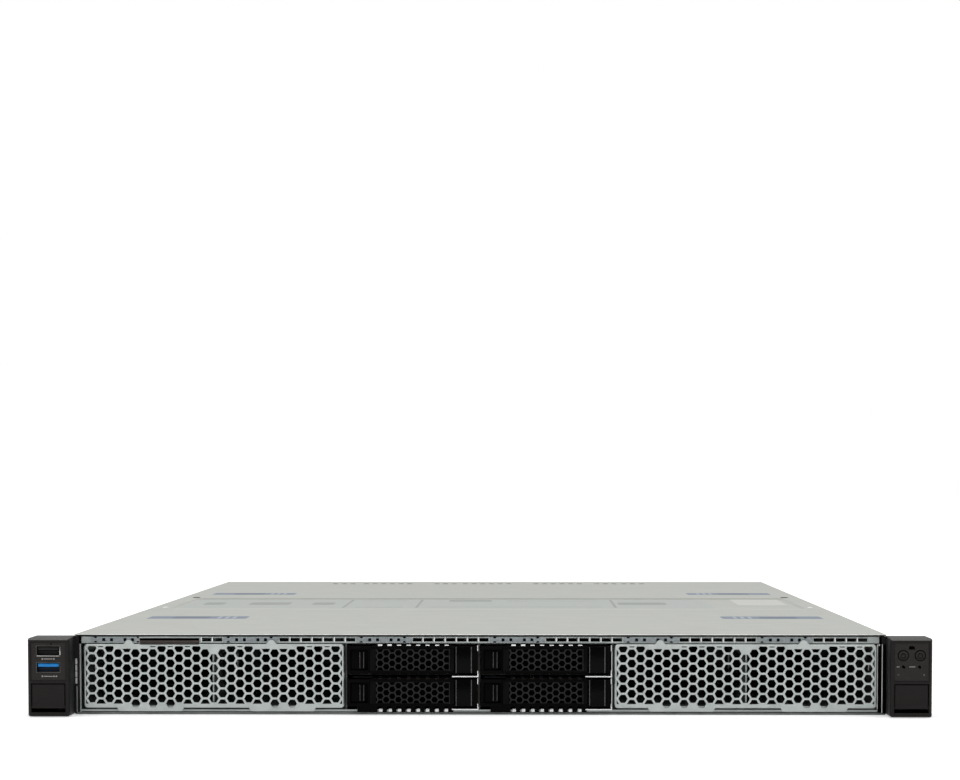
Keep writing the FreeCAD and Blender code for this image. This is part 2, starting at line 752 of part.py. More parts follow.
def module_plate(holes):
    """A front plate for an ear's upper pocket, at the left ear."""
    gap = 0.1
    sides = (-module_middle - module_half + gap, -module_middle + module_half - gap)
    return plate(rectangle(sides, (module_bottom + gap, module_top - gap)), "y", ear_front + module_sink,
                 module_sheet, holes)


def usb_plate():
    middle = -module_middle
    holes = [rectangle((middle - usb_width / 2 - 0.05, middle + usb_width / 2 + 0.05),
                       (z - usb_height / 2 - 0.05, z + usb_height / 2 + 0.05)) for z in usb_heights]
    return module_plate(holes)


def control_plate():
    """The plate with two button bores, a lamp window and two lamp holes, made at the left and moved across."""
    middle = -module_middle
    reach = button_radius + 0.15
    holes = [(middle - button_spread, button_height, reach), (middle + button_spread, button_height, reach),
             rectangle((middle - 1.55, middle + 1.55), (36.5, 37.9)),
             hexagon(middle - 4.0, 26.9, 1.2), hexagon(middle + 4.4, 26.9, 1.2)]
    return module_plate(holes).translated(V(2 * module_middle, 0, 0))


def button(side):
    """A round push button, kept in and kept from turning by a square flange behind the plate."""
    x = module_middle + side * button_spread
    front = ear_front + module_sink - 0.2
    flange_front = ear_front + module_sink + module_sheet + seat_gap
    cap = rod((x, front, button_height), (0, 1, 0), button_radius, flange_front - front + 0.1)
    reach = button_radius + 0.6
    flange = block((x - reach, x + reach), (flange_front, flange_front + button_flange),
                   (button_height - reach, button_height + reach))
    return joined([cap, flange])


def usb_port(x, front, z, length):
    """A folded receptacle shell with its contact tongue in the upper half."""
    outer = cut_corners((x - usb_width / 2, x + usb_width / 2), (z - usb_height / 2, z + usb_height / 2), 0.4)
    shell = plate(outer, "y", front, length)
    mouth = block((x - usb_width / 2 + usb_shell, x + usb_width / 2 - usb_shell), (front - 1, front + length - 2.0),
                  (z - usb_height / 2 + usb_shell, z + usb_height / 2 - usb_shell))
    tongue = block((x - 5.6, x + 5.6), (front + 0.9, front + length - 1.0), (z + 0.35, z + 2.2))
    return joined([shell.cut(mouth), tongue])


def front_ports():
    front = ear_front + module_sink
    return [usb_port(-module_middle, front, z, usb_length) for z in usb_heights]


def ear_boards():
    """The left board carries the two ports, and the right one has a switch behind each button."""
    sides = (-module_middle - 8.3, -module_middle + 8.3)
    back = ear_front + module_sink + usb_length + 0.1
    left = block(sides, (back, back + board_sheet), (module_bottom + 1.0, module_top - 1.0))
    left_foot = block((sides[0] + 3.0, sides[1] - 3.0), (back + board_sheet - eps, ear_back - 2.2), (24.0, 34.0))
    right_front = ear_front + 9.0
    right = block((-sides[1], -sides[0]), (right_front, right_front + board_sheet),
                  (module_bottom + 0.6, module_top - 0.6))
    rest = ear_front + module_sink + module_sheet + seat_gap + button_flange + button_travel + 0.1
    switches = [block((module_middle + s * button_spread - 1.5, module_middle + s * button_spread + 1.5),
                      (rest, right_front + eps), (button_height - 1.5, button_height + 1.5)) for s in (-1, 1)]
    right_foot = block((-sides[1] + 3.0, -sides[0] - 3.0), (right_front + board_sheet - eps, ear_back - 2.2),
                       (24.0, 34.0))
    return [joined([left, left_foot]), joined([right, right_foot] + switches)]


def ear_flap():
    """The left flap over the rack screw. Its foot is a barrel with a stub at each end."""
    low, high = -module_middle - module_half + 0.4, -module_middle + module_half - 0.4
    front = ear_front + 0.2
    axis_back = front + flap_sheet / 2
    leaf = block((low, high), (front, front + flap_sheet), (flap_hinge_height, chamber_top - 0.3))
    leaf = leaf.makeChamfer(0.35, [e for e in leaf.Edges if abs(e.CenterOfMass.y - front) < 1e-6
                                   and abs(e.CenterOfMass.z - flap_hinge_height) > 1e-6])
    barrel = rod((low, axis_back, flap_hinge_height), (1, 0, 0), flap_sheet / 2, high - low)
    stub = rod((low - 1.2, axis_back, flap_hinge_height), (1, 0, 0), pin_radius, high - low + 2.4)
    catch = block((low + 6.0, high - 6.0), (front + flap_sheet - eps, front + flap_sheet + 1.6),
                  (chamber_top - 2.3, chamber_top - 0.9))
    return joined([leaf, barrel, stub, catch])


# ---- service tag --------------------------------------------------------------------------------
def service_tag():
    """A pull-out card with an upturned lip."""
    lip = block((tag_left + 0.3, tag_right - 0.3), (-1.2, 0.6), (panel_top + 0.2, tag_lip_top))
    card = block((tag_left + 1.0, tag_right - 1.0), (0.5, tag_length), (tag_bottom, tag_bottom + tag_sheet))
    stop = block((tag_left + 0.4, tag_right - 0.4), (tag_length - 3.0, tag_length - 0.5),
                 (tag_bottom, tag_bottom + tag_sheet))
    return joined([lip, card, stop])


# ---- cooling ------------------------------------------------------------------------------------
def fan_middles():
    return [(k - (fan_count - 1) / 2) * fan_pitch for k in range(fan_count)]


def fan_wall():
    """The cross wall that the fans hang on, with a window for each and gaps for the leads."""
    half = inner_half - seat_gap
    top = wall_top - 0.6
    low, high = fan_floor + 2.0, fan_floor + fan_size - 2.0
    reach = fan_size / 2 - 2.0
    windows = [cut_corners((x - reach, x + reach), (low, high), 6.0) for x in fan_middles()]
    gate = lead_width / 2 + 1.0
    gates = [rectangle((x - gate, x + gate), (10.0, 24.0)) for x in lead_places()]
    wall = plate(rectangle((-half, half), (pan_sheet, top)), "y", fan_wall_front, fan_wall_sheet, windows + gates)
    foot = block((-half, half), (fan_wall_front - 9.0, fan_wall_front + eps), (pan_sheet, pan_sheet + fan_wall_sheet))
    head = block((-half, half), (fan_wall_front - 9.0, fan_wall_front + eps), (top - fan_wall_sheet, top))
    return joined([wall, foot, head])


def fan_frame():
    """A square frame round a bore, with the motor cup on three struts at its back."""
    half = fan_size / 2
    shell = plate(cut_corners((-half, half), (-half, half), 2.0), "y", 0, fan_depth, [(0, 0, fan_bore)])
    cup = plate(ring_of_points(hub_radius, 9), "y", fan_depth - motor_cup, motor_cup)
    arm = block((hub_radius - 1.5, fan_bore + 0.3), (fan_depth - 3.0, fan_depth), (-0.9, 0.9))
    struts = [arm.rotated(V(0, 0, 0), V(0, 1, 0), turn) for turn in (90, 210, 330)]
    return joined([shell, cup] + struts)


def fan_frames():
    middle = fan_floor + fan_size / 2
    return [fan_frame().translated(V(x, fan_front, middle)) for x in fan_middles()]


def fan_rotor():
    """A many-sided hub with a blade set aslant on every other side, each tip inside the bore."""
    start = 1.6
    length = fan_depth - motor_cup - 0.5 - start
    hub = plate(ring_of_points(hub_radius, 2 * blade_count), "y", start, length)
    turn = math.radians(blade_angle)
    chord = (length - 6.0) / math.sin(turn)
    along = V(math.cos(turn), math.sin(turn), 0) * (chord / 2)
    across = V(-math.sin(turn), math.cos(turn), 0) * 0.5
    tip = math.sqrt(rotor_radius ** 2 - (along.x + abs(across.x)) ** 2)
    middle = V(0, start + length / 2, hub_radius - 3.0)
    corners = [middle + along + across, middle + along - across, middle - along - across, middle - along + across]
    section = Part.Face(Part.makePolygon(corners + corners[:1]))
    blade = section.extrude(V(0, 0, tip - middle.z))
    blades = [blade.rotated(V(0, 0, 0), V(0, 1, 0), 360.0 / blade_count * k) for k in range(blade_count)]
    return joined([hub] + blades)


# ---- board --------------------------------------------------------------------------------------
def motherboard():
    """A board with a narrow tail between the power supplies."""
    tail, half = board_tail_half, board_half
    edge = [(-half, board_front), (half, board_front), (half, board_shoulder), (tail, board_shoulder),
            (tail, board_back), (-tail, board_back), (-tail, board_shoulder), (-half, board_shoulder)]
    return plate(edge, "z", board_bottom, board_sheet)


def dimm_middles():
    steps = [k * dimm_pitch for k in range(dimm_rows)]
    right = [dimm_inner + s for s in steps] + [dimm_outer + s for s in steps]
    return [-x for x in reversed(right)] + right


def memory_socket():
    """A grooved socket body with a latch tower at each end."""
    half, top, seat = 3.2, board_top + 8.5, board_top + dimm_seat - 0.1
    slot = dimm_sheet / 2 + 0.1
    front, back = dimm_front - 6.5, dimm_front + dimm_length + 6.5
    edge = [(-half, board_top), (half, board_top), (half, top), (slot, top), (slot, seat), (-slot, seat),
            (-slot, top), (-half, top)]
    body = plate(edge, "y", front, back - front)
    towers = [block((-2.6, 2.6), (y, y + 5.5), (top - eps, top + 9.0)) for y in (front, back - 5.5)]
    return joined([body] + towers)


def memory_module():
    """A module: its board, and a row of memory chips on each face."""
    low = board_top + dimm_seat
    board = block((-dimm_sheet / 2, dimm_sheet / 2), (dimm_front, dimm_front + dimm_length), (low, low + dimm_height))
    chips = block((-1.85, 1.85), (dimm_front + 5.0, dimm_front + dimm_length - 5.0), (low + 12.0, low + 26.0))
    return joined([board, chips])


def board_parts():
    """What stands on the board: memory and processor sockets, lead sockets, chokes, controller and battery."""
    pieces = [memory_socket().translated(V(x, 0, 0)) for x in dimm_middles()]
    for side in (-1, 1):
        x = side * sink_offset
        pieces.append(block((x - 38.0, x + 38.0), (sink_front + 4.0, sink_front + sink_length - 4.0),
                            (board_top, board_top + socket_height)))
        for k in range(5):
            left = x - 36.0 + 15.6 * k
            pieces.append(block((left, left + 9.5), (sink_front + sink_length + 12.0, sink_front + sink_length + 21.5),
                                (board_top, board_top + 6.0)))
    for x in lead_places():
        pieces.append(block((x - 9.0, x + 9.0), (board_front + 4.0, board_front + 12.0), (board_top, board_top + 7.0)))
    chip = board_shoulder + 28.0
    pieces.append(block((-24.0, 24.0), (chip, chip + 42.0), (board_top, board_top + 7.0)))
    pieces.append(plate(hexagon(60.0, chip + 10.0, 20.0), "z", board_top, 4.0))
    return pieces


def heat_sink():
    """An extruded comb: a base with upright fins that run front to back."""
    low = board_top + socket_height
    foot = low + sink_base
    half = sink_width / 2
    count = int((sink_width - 2 * fin_sheet) / fin_pitch)
    edge = [(-half, foot), (-half, low), (half, low), (half, foot)]
    for k in range(count, -1, -1):
        x = (k - count / 2) * fin_pitch
        right, left = x + fin_sheet / 2, x - fin_sheet / 2
        edge += [(right, foot), (right, sink_top), (left, sink_top), (left, foot)]
    return plate(edge, "y", sink_front, sink_length)


def data_leads():
    """Two flat leads from the backplane to the board, through the gaps beside the middle fan."""
    start = cage_depth + seat_gap + board_sheet + lead_socket
    end = board_front + 4.0
    low = board_top + 3.5
    route = [(start, lead_height), (start + 18.0, lead_height), (start + 42.0, 22.0), (fan_wall_front - 8.0, 16.5),
             (fan_wall_front + 32.0, 15.0), (end - 14.0, low), (end, low)]
    return [flat_lead([(x, y, z) for y, z in route], lead_width, lead_thick) for x in lead_places()]


# ---- covers -------------------------------------------------------------------------------------
def cover(front, back, flange_front, flange_back):
    """A flat sheet with a fold down inside each chassis wall."""
    sheet = block((-half_width, half_width), (front, back), (cover_under, chassis_height))
    outer = inner_half - seat_gap
    folds = [block((x, x + cover_sheet), (flange_front, flange_back), (cover_under - cover_flange, cover_under + eps))
             for x in (-outer, outer - cover_sheet)]
    return sheet, folds


def front_cover():
    sheet, folds = cover(0, cover_split, 24.0, fan_wall_front - 14.0)
    return joined([sheet] + folds)


def rear_cover():
    """The longer cover: a sunk label field, and rows of vent slots near its back edge."""
    sheet, folds = cover(cover_split + seam_gap, chassis_depth, cover_split + 8.0, psu_front - 14.0)
    pad = block((-deboss_half - 1, deboss_half + 1), (deboss_front - 1, deboss_back + 1),
                (cover_under - deboss_depth, cover_under + eps))
    levels = []
    for inset, z in ((deboss_slope, chassis_height - deboss_depth), (0, chassis_height + eps)):
        levels.append(outline(cut_corners((-deboss_half + inset, deboss_half - inset),
                                          (deboss_front + inset, deboss_back - inset), 3.0), "z", z))
    sunk = Part.makeLoft(levels, True, True)
    slots = []
    for start, count in vent_groups:
        for k in range(int(count)):
            x = start + k * vent_pitch
            slots.append(block((x, x + vent_slot_width), (vent_row - vent_slot_length / 2,
                                                          vent_row + vent_slot_length / 2),
                               (cover_under - 1, chassis_height + 1)))
    return without(joined([sheet, pad] + folds), [sunk] + slots)


# ---- rear ---------------------------------------------------------------------------------------
def psu_cage():
    """A wall beside each power supply, with a foot on the floor."""
    pieces = []
    x = -psu_inner + seat_gap
    wall = block((x, x + frame_sheet), (psu_front - 12.0, chassis_depth - pan_sheet - seat_gap),
                 (pan_sheet, wall_top - 0.4))
    foot = block((x, x + 9.0), (psu_front, chassis_depth - 16.0), (pan_sheet, pan_sheet + frame_sheet))
    stop = block((-inner_half + 12.0, x + frame_sheet), (psu_front - 12.0, psu_front - 12.0 + frame_sheet),
                 (pan_sheet, 12.0))
    left = joined([wall, foot, stop])
    pieces += [left, mirrored(left)]
    return pieces


def power_supply():
    """The left supply: case, edge connector, sunk fan mouth with its guard, inlet recess and a loop handle."""
    low, high = -psu_outer, -psu_inner
    back = chassis_depth
    floor, roof = psu_floor, psu_floor + psu_height
    case = block((low, high), (psu_front, back), (floor, roof))
    fan_x, fan_z = high - 21.0, floor + psu_height / 2
    mouth = rod((fan_x, back - 14.0, fan_z), (0, 1, 0), 17.0, 20.0)
    inlet = plate(cut_corners((low + 7.5, low + 31.5), (floor + 5.0, floor + 21.5), 3.0), "y", back - 13.0, 20.0)
    slits = [block((low + 10.0 + 12.0 * k, low + 17.0 + 12.0 * k), (psu_front - 1, psu_front + 2.0),
                   (floor + 16.0, roof - 5.0)) for k in range(5)]
    guard = []
    for turn in (0, 45, 90, 135):
        bar = block((-17.6, 17.6), (back - 1.6, back - 0.4), (-0.6, 0.6))
        guard.append(bar.rotated(V(0, 0, 0), V(0, 1, 0), turn).translated(V(fan_x, 0, fan_z)))
    motor = plate(hexagon(fan_x, fan_z, 14.0), "y", back - 14.0 - eps, 14.0 - 0.4)
    edge_board = block((low + 24.0, low + 52.0), (psu_front - 8.0, psu_front + eps), (floor + 6.0, floor + 7.6))
    handle_x = high - 42.0
    end = back + handle_reach
    loop = [(back - eps, floor + 4.0), (end - 5.0, floor + 4.0), (end, floor + 9.0), (end, roof - 9.0),
            (end - 5.0, roof - 4.0), (back - eps, roof - 4.0), (back - eps, roof - 4.0 - handle_thick),
            (end - 6.0, roof - 4.0 - handle_thick), (end - handle_thick, roof - 10.0),
            (end - handle_thick, floor + 10.0), (end - 6.0, floor + 4.0 + handle_thick),
            (back - eps, floor + 4.0 + handle_thick)]
    handle = plate(loop, "x", handle_x - 3.0, 6.0)
    return joined([without(case, [mouth, inlet] + slits)] + guard + [motor, edge_board, handle])


def psu_latch():
    """The left supply's release: a springy arm beside the case that ends in a ribbed thumb pad."""
    back = chassis_depth
    x = -psu_outer + 2.6
    height = psu_floor + 27.0
    pad = plate(cut_corners((back + 1.0, back + 13.0), (height, height + 10.0), 1.2), "x", x, 2.0)
    knuckle = rod((x + 1.0, back + latch_axis, height), (0, 0, 1), 1.0, 10.0)
    teeth = [block((x - 0.5, x + eps), (back + 6.0 + 2.0 * k, back + 7.0 + 2.0 * k), (height + 1.5, height + 8.5))
             for k in range(3)]
    return joined([pad, knuckle] + teeth)


def riser_cage():
    """A bridge over the card slots, on a leg at each side."""
    half = board_tail_half - 3.0
    top = wall_top - 1.0
    back = chassis_depth - 12.0
    front = back - 148.0
    roof = plate(rectangle((-half, half), (front, back)), "z", top - frame_sheet, frame_sheet,
                 [cut_corners((x - 45.0, x + 45.0), (front + 30.0, front + 100.0), 8.0) for x in (-70.0, 70.0)])
    legs = [block((x, x + frame_sheet), (front + 4.0, back - 4.0), (board_top, top - frame_sheet + eps))
            for x in (-half, half - frame_sheet)]
    return joined([roof] + legs)


def riser_boards():
    """Two upright riser boards, each with a slot that faces outwards."""
    boards = []
    back = board_back - 22.0
    front = back - 100.0
    for side in (-1, 1):
        board = block(sorted((side * 3.2, side * 4.8)), (front, back), (board_top, 39.0))
        slot = block(sorted((side * 4.7, side * 15.0)), (front + 6.0, back - 4.0), (27.0, 34.5))
        groove = block(sorted((side * 7.0, side * 16.0)), (front + 8.0, back - 6.0), (29.8, 31.7))
        boards.append(joined([board, slot.cut(groove)]))
    return boards


def slot_covers():
    """Slotted blanks behind the two card windows, and the blank over the network bay."""
    low, high, floor, roof = slot_window
    back = chassis_depth - pan_sheet
    slots = [rectangle((low + 7.0 + 15.0 * k, low + 19.0 + 15.0 * k), (floor + 3.0, roof - 3.0)) for k in range(7)]
    sheet = plate(rectangle((low - 2.0, high + 2.0), (floor - 0.8, roof + 0.6)), "y", back - frame_sheet,
                  frame_sheet, slots)
    left, right, low_z, high_z = network_bay
    blank = plate(rectangle((left - 1.5, right + 1.5), (low_z - 0.3, high_z + 0.5)), "y", back - frame_sheet,
                  frame_sheet, [rectangle((left + 8.0 + 9.0 * k, left + 13.0 + 9.0 * k), (12.0, 17.0)) for k in range(7)])
    return [sheet, mirrored(sheet), blank]


def network_jack(x):
    """A shielded jack, open at the back, with its latch notch upwards."""
    back = chassis_depth + 0.4
    shell = block((x - jack_width / 2, x + jack_width / 2), (back - 21.0, back), (board_top, board_top + jack_height))
    mouth = block((x - 5.9, x + 5.9), (back - 14.0, back + 1), (board_top + 2.6, board_top + 9.6))
    notch = block((x - 3.0, x + 3.0), (back - 14.0, back + 1), (board_top + 9.5, board_top + 11.6))
    return without(shell, [mouth, notch])


def display_port():
    """A fifteen-way connector: flange, D-shaped shell and body."""
    back = chassis_depth
    z = board_top + 6.2
    flange = block((vga_place - 15.4, vga_place + 15.4), (back - pan_sheet - 0.9, back - pan_sheet - 0.1),
                   (board_top, board_top + 12.4))
    shell = plate([(vga_place - 7.4, z - 3.9), (vga_place + 7.4, z - 3.9), (vga_place + 8.6, z + 3.9),
                   (vga_place - 8.6, z + 3.9)], "y", back - pan_sheet - 0.2, 6.0)
    body = block((vga_place - 12.0, vga_place + 12.0), (back - 14.0, back - pan_sheet - 0.8),
                 (board_top, board_top + 10.0))
    return joined([flange, shell, body])


def rear_ports():
    ports = [network_jack(x) for x in jack_places]
    back = chassis_depth + 0.4
    for x in rear_usb_places:
        z = board_top + 0.3 + usb_height / 2
        port = usb_port(x, -back, z, usb_length)
        foot = block((x - 5.0, x + 5.0), (-back + 2.0, -back + usb_length - 1.0), (board_top, board_top + 0.4))
        ports.append(joined([port, foot]).mirror(V(0, 0, 0), V(0, 1, 0)))
    ports.append(display_port())
    return ports


def fasteners():
    """Screws that hold the ear brackets to the chassis sides."""
    heads = []
    face = -half_width - bracket_leg
    for back in (20.0, 34.0):
        for height in (11.0, 31.0):
            left = plate(hexagon(back, height, 5.6), "x", face - 0.9, 0.9)
            heads += [left, mirrored(left)]
    return heads


# ---- every node and the file it is written to ---------------------------------------------------
def nodes():
    middle = fan_floor + fan_size / 2
    panel, rotor = vent_panel(), fan_rotor()
    a_drive, a_lever, a_release = drive(), lever(), release()
    low_tray, high_tray = tray(True), tray(False)
    housing, flap, supply, latch = ear_housing(), ear_flap(), power_supply(), psu_latch()
    made = {
        "chassis_pan": chassis_pan(),
        "rear_panel": rear_panel(),
        "bay_frame": bay_frame(),
        "left_vent_panel": panel.translated(V(-panel_offset, 0, 0)),
        "right_vent_panel": panel.translated(V(panel_offset, 0, 0)),
        "drive_cage": drive_cage(),
        "drive_backplane": drive_backplane(),
        "left_ear_housing": housing,
        "right_ear_housing": mirrored(housing),
        "ear_brackets": [ear_bracket(), mirrored(ear_bracket())],
        "module_plates": [usb_plate(), control_plate()],
        "front_usb_ports": front_ports(),
        "ear_boards": ear_boards(),
        "fan_wall": fan_wall(),
        "fan_frames": fan_frames(),
        "motherboard": motherboard(),
        "board_parts": board_parts(),
        "cpu_heatsinks": [heat_sink().translated(V(x, 0, 0)) for x in (-sink_offset, sink_offset)],
        "memory_modules": [memory_module().translated(V(x, 0, 0)) for x in dimm_middles()],
        "psu_cage": psu_cage(),
        "riser_cage": riser_cage(),
        "riser_boards": riser_boards(),
        "rear_slot_covers": slot_covers(),
        "rear_io_ports": rear_ports(),
        "data_leads": data_leads(),
        "fasteners": fasteners(),
        "front_cover": front_cover(),
        "rear_cover": rear_cover(),
        "service_tag": service_tag(),
        "left_ear_flap": flap,
        "right_ear_flap": mirrored(flap),
        "power_button": button(-1),
        "id_button": button(1),
        "left_psu": supply,
        "right_psu": mirrored(supply),
        "left_psu_latch": latch,
        "right_psu_latch": mirrored(latch),
    }
    for k, x in enumerate(fan_middles()):
        made[f"fan_rotor_{k + 1}"] = rotor.translated(V(x, fan_front, middle))
    for number, left, floor in drive_bays():
        corner = V(left, 0, floor)
        made[f"tray_{number}"] = (low_tray if floor == tray_bottom else high_tray).translated(corner)
        made[f"drive_{number}"] = a_drive.translated(corner)
        made[f"tray_lever_{number}"] = a_lever.translated(corner)
        made[f"tray_release_{number}"] = a_release.translated(corner)
    return made


os.makedirs("parts", exist_ok=True)
for name, shape in nodes().items():
    whole = Part.makeCompound(shape) if isinstance(shape, list) else shape
    moved = whole.translated(V(0, -origin_back, 0))
    moved.exportStep(f"parts/{name}.step")
print("nodes written:", len(os.listdir("parts")), " origin set back by", origin_back)
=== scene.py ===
# %% [markdown]
# # A one-unit rack server
# The real thing is a low, wide steel box. Its front has two punched steel panels with a hexagon field,
# four black drive trays between them and a black moulded ear at each end. The CAD model already holds
# every piece at its size and place. This notebook gives each of them its finish, models the mouldings
# and small parts that a plain solid leaves out, and sets up the light and the camera.

# %% Load the frame
import math

import bmesh
import bpy
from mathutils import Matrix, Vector


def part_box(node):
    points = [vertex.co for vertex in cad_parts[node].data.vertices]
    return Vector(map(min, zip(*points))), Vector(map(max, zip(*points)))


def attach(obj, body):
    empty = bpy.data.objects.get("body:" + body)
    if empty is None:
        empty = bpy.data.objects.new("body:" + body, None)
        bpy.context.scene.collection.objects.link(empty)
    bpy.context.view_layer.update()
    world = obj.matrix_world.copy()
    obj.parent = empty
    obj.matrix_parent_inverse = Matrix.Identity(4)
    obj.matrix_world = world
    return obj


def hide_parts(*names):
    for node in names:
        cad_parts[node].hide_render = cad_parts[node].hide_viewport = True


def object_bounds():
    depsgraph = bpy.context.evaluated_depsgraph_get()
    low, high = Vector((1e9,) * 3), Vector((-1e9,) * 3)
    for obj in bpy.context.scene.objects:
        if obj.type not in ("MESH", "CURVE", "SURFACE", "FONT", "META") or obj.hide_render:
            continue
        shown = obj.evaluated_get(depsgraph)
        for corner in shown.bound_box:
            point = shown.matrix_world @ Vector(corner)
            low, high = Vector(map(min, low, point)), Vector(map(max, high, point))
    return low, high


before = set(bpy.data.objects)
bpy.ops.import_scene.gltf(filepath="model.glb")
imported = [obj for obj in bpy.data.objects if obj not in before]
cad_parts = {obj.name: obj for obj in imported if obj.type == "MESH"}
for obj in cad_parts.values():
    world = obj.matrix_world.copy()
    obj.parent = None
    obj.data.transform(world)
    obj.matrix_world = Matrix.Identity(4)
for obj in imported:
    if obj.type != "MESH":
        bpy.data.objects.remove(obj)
cad_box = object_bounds()
MM = 0.001
cad_width = round((cad_box[1] - cad_box[0]).x / MM, 1)
print("pieces from the CAD model:", len(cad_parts), " width in mm:", cad_width)

# %% [markdown]
# ## The stage
# A product is usually taken on a white sweep: a floor that runs up into a white backdrop, so that
# nothing competes with it. A wide flat plane does that here, because the world behind it is white too.
# The floor gets a little light of its own, which keeps it white right up to the edge of the server.

# %% Floor
floor_z, floor_size, floor_middle = cad_box[0].z, 24.0, 6.0
bpy.ops.object.select_all(action="DESELECT")
bpy.ops.mesh.primitive_plane_add(size=floor_size, location=(0, floor_middle, floor_z))
studio_floor = bpy.context.object
studio_floor.name = "studio_floor"
print("floor:", floor_size, "m wide, at the height of the lowest point,", round(floor_z / MM, 2), "mm")

# %% [markdown]
# ## The camera
# The server is seen from 1.4 m in front of it and a little above, with a long lens. The frame of the
# camera is shifted up, which leaves the server low in the view and keeps its upright edges parallel.

# %% Camera
camera_right, camera_away, camera_up = 23.7, 1370.6, 125.7
lens_mm, shift_up = 96.62, 0.2457
looks_down, rolls, turns_left = 3.2, 0.027, 0.96
camera_data = bpy.data.cameras.new("camera")
camera_data.sensor_width = 36.0
camera_data.lens = lens_mm
camera_data.shift_y = shift_up
camera = bpy.data.objects.new("camera", camera_data)
bpy.context.scene.collection.objects.link(camera)
bpy.context.scene.camera = camera
camera.location = (camera_right * MM, cad_box[0].y - camera_away * MM, floor_z + camera_up * MM)
camera.rotation_euler = [math.radians(angle) for angle in (90.0 - looks_down, rolls, turns_left)]
print("camera", camera_away, "mm in front of the ears, lens", lens_mm, "mm")

# %% [markdown]
# ## Helpers for finishes
# A finish is a small network of nodes. One function adds a node, sets it and links it, so that each
# finish below reads as a short recipe. Colours are written as sRGB hex values, the way a colour picker
# shows them, and the shader wants them linear, so another function turns them.

# %% Colour and node helpers
def linear(hex_colour):
    """An sRGB hex colour, such as "c0c1bb", as linear RGBA."""
    parts = [int(hex_colour[i:i + 2], 16) / 255 for i in (0, 2, 4)]
    return (*[p / 12.92 if p <= 0.04045 else ((p + 0.055) / 1.055) ** 2.4 for p in parts], 1.0)


def add_node(tree, kind, settings=None, sockets=None, stops=()):
    """Adds one node, with its plain settings, its sockets set or linked, and its colour stops."""
    node = tree.nodes.new(kind)
    for name, value in (settings or {}).items():
        setattr(node, name, value)
    for key, value in (sockets or {}).items():
        if isinstance(value, bpy.types.NodeSocket):
            tree.links.new(value, node.inputs[key])
        else:
            node.inputs[key].default_value = value
    for number, (position, hex_colour) in enumerate(stops):
        node.color_ramp.elements[number].position = position
        node.color_ramp.elements[number].color = linear(hex_colour)
    return node


def new_material(name, sockets):
    """A material with one Principled shader, whose plain sockets are set. Gives (material, tree, shader)."""
    made = bpy.data.materials.new(name)
    made.use_nodes = True
    shader = made.node_tree.nodes["Principled BSDF"]
    for key, value in sockets.items():
        shader.inputs[key].default_value = value
    return made, made.node_tree, shader


print("the sRGB colour 808080 is", round(linear("808080")[0], 3), "in linear light")

# %% [markdown]
# ## The light
# The backdrop and the ceiling of the studio are white, and the room behind the camera is darker. That
# is why black plastic stays black from the front. The world is a ramp over the direction that a ray
# takes: white where it goes back or up, grey where it goes towards the viewer. A broad soft box
# overhead gives the covers their even grey, and one on each side of the camera reaches into the
# punched panels. Large boxes give soft shadows, and the reflections that make steel look like steel.

# %% World, soft boxes and paper sweep
world = bpy.data.worlds.new("white studio")
bpy.context.scene.world = world
bpy.context.scene.view_settings.view_transform = "Standard"
world.use_nodes = True
sky = world.node_tree
direction = add_node(sky, "ShaderNodeTexCoord").outputs["Generated"]
depth = add_node(sky, "ShaderNodeSeparateXYZ", {}, {"Vector": direction}).outputs["Y"]
glow = add_node(sky, "ShaderNodeMapRange", {}, {"Value": depth, "From Min": -0.5, "From Max": 0.35,
                                                "To Min": 0.22, "To Max": 1.0})
sky.nodes["Background"].inputs["Color"].default_value = linear("ffffff")
sky.links.new(glow.outputs["Result"], sky.nodes["Background"].inputs["Strength"])


def soft_box(name, place, aim, width, height, power):
    """A rectangular lamp that faces a point."""
    lamp = bpy.data.lights.new(name, "AREA")
    lamp.shape = "RECTANGLE"
    lamp.size = width
    lamp.size_y = height
    lamp.energy = power
    made = bpy.data.objects.new(name, lamp)
    bpy.context.scene.collection.objects.link(made)
    made.location = place
    made.rotation_euler = (Vector(aim) - Vector(place)).to_track_quat("-Z", "Y").to_euler()


server_front = (0.0, -0.3, 0.02)
soft_box("overhead box", (0.0, -0.3, 1.7), (0.0, 0.0, 0.0), 2.2, 1.2, 9.0)
soft_box("left box", (-1.5, -1.9, 1.1), server_front, 0.7, 0.9, 7.0)
soft_box("right box", (1.6, -1.7, 1.2), server_front, 0.7, 0.9, 5.0)

paper = {"Base Color": linear("ffffff"), "Roughness": 0.95, "Specular IOR Level": 0.0,
         "Emission Color": linear("ffffff"), "Emission Strength": 0.4}
studio_floor.data.materials.append(new_material("white paper sweep", paper)[0])
print("lamps:", len(bpy.data.lights))

# %% [markdown]
# ## One recipe for sheet, plastic, plating and film
# None of this server's surfaces is one flat colour. Zinc has a cloudy mottle, moulded plastic a fine
# pebble, plated metal a haze and printed film a fibre. All four are a noise of a real size, which
# moves the colour and the gloss a little. So one function makes them, and each family of finishes
# says how large its clouds are. An edge is never perfectly sharp either: the Bevel node turns the
# normals there, and each edge catches a thin line of light. Relief is a Bump node over it.

# %% The shared recipe
rolling_mm, rolling_stretch = 0.5, (0.06, 1.0, 1.0)


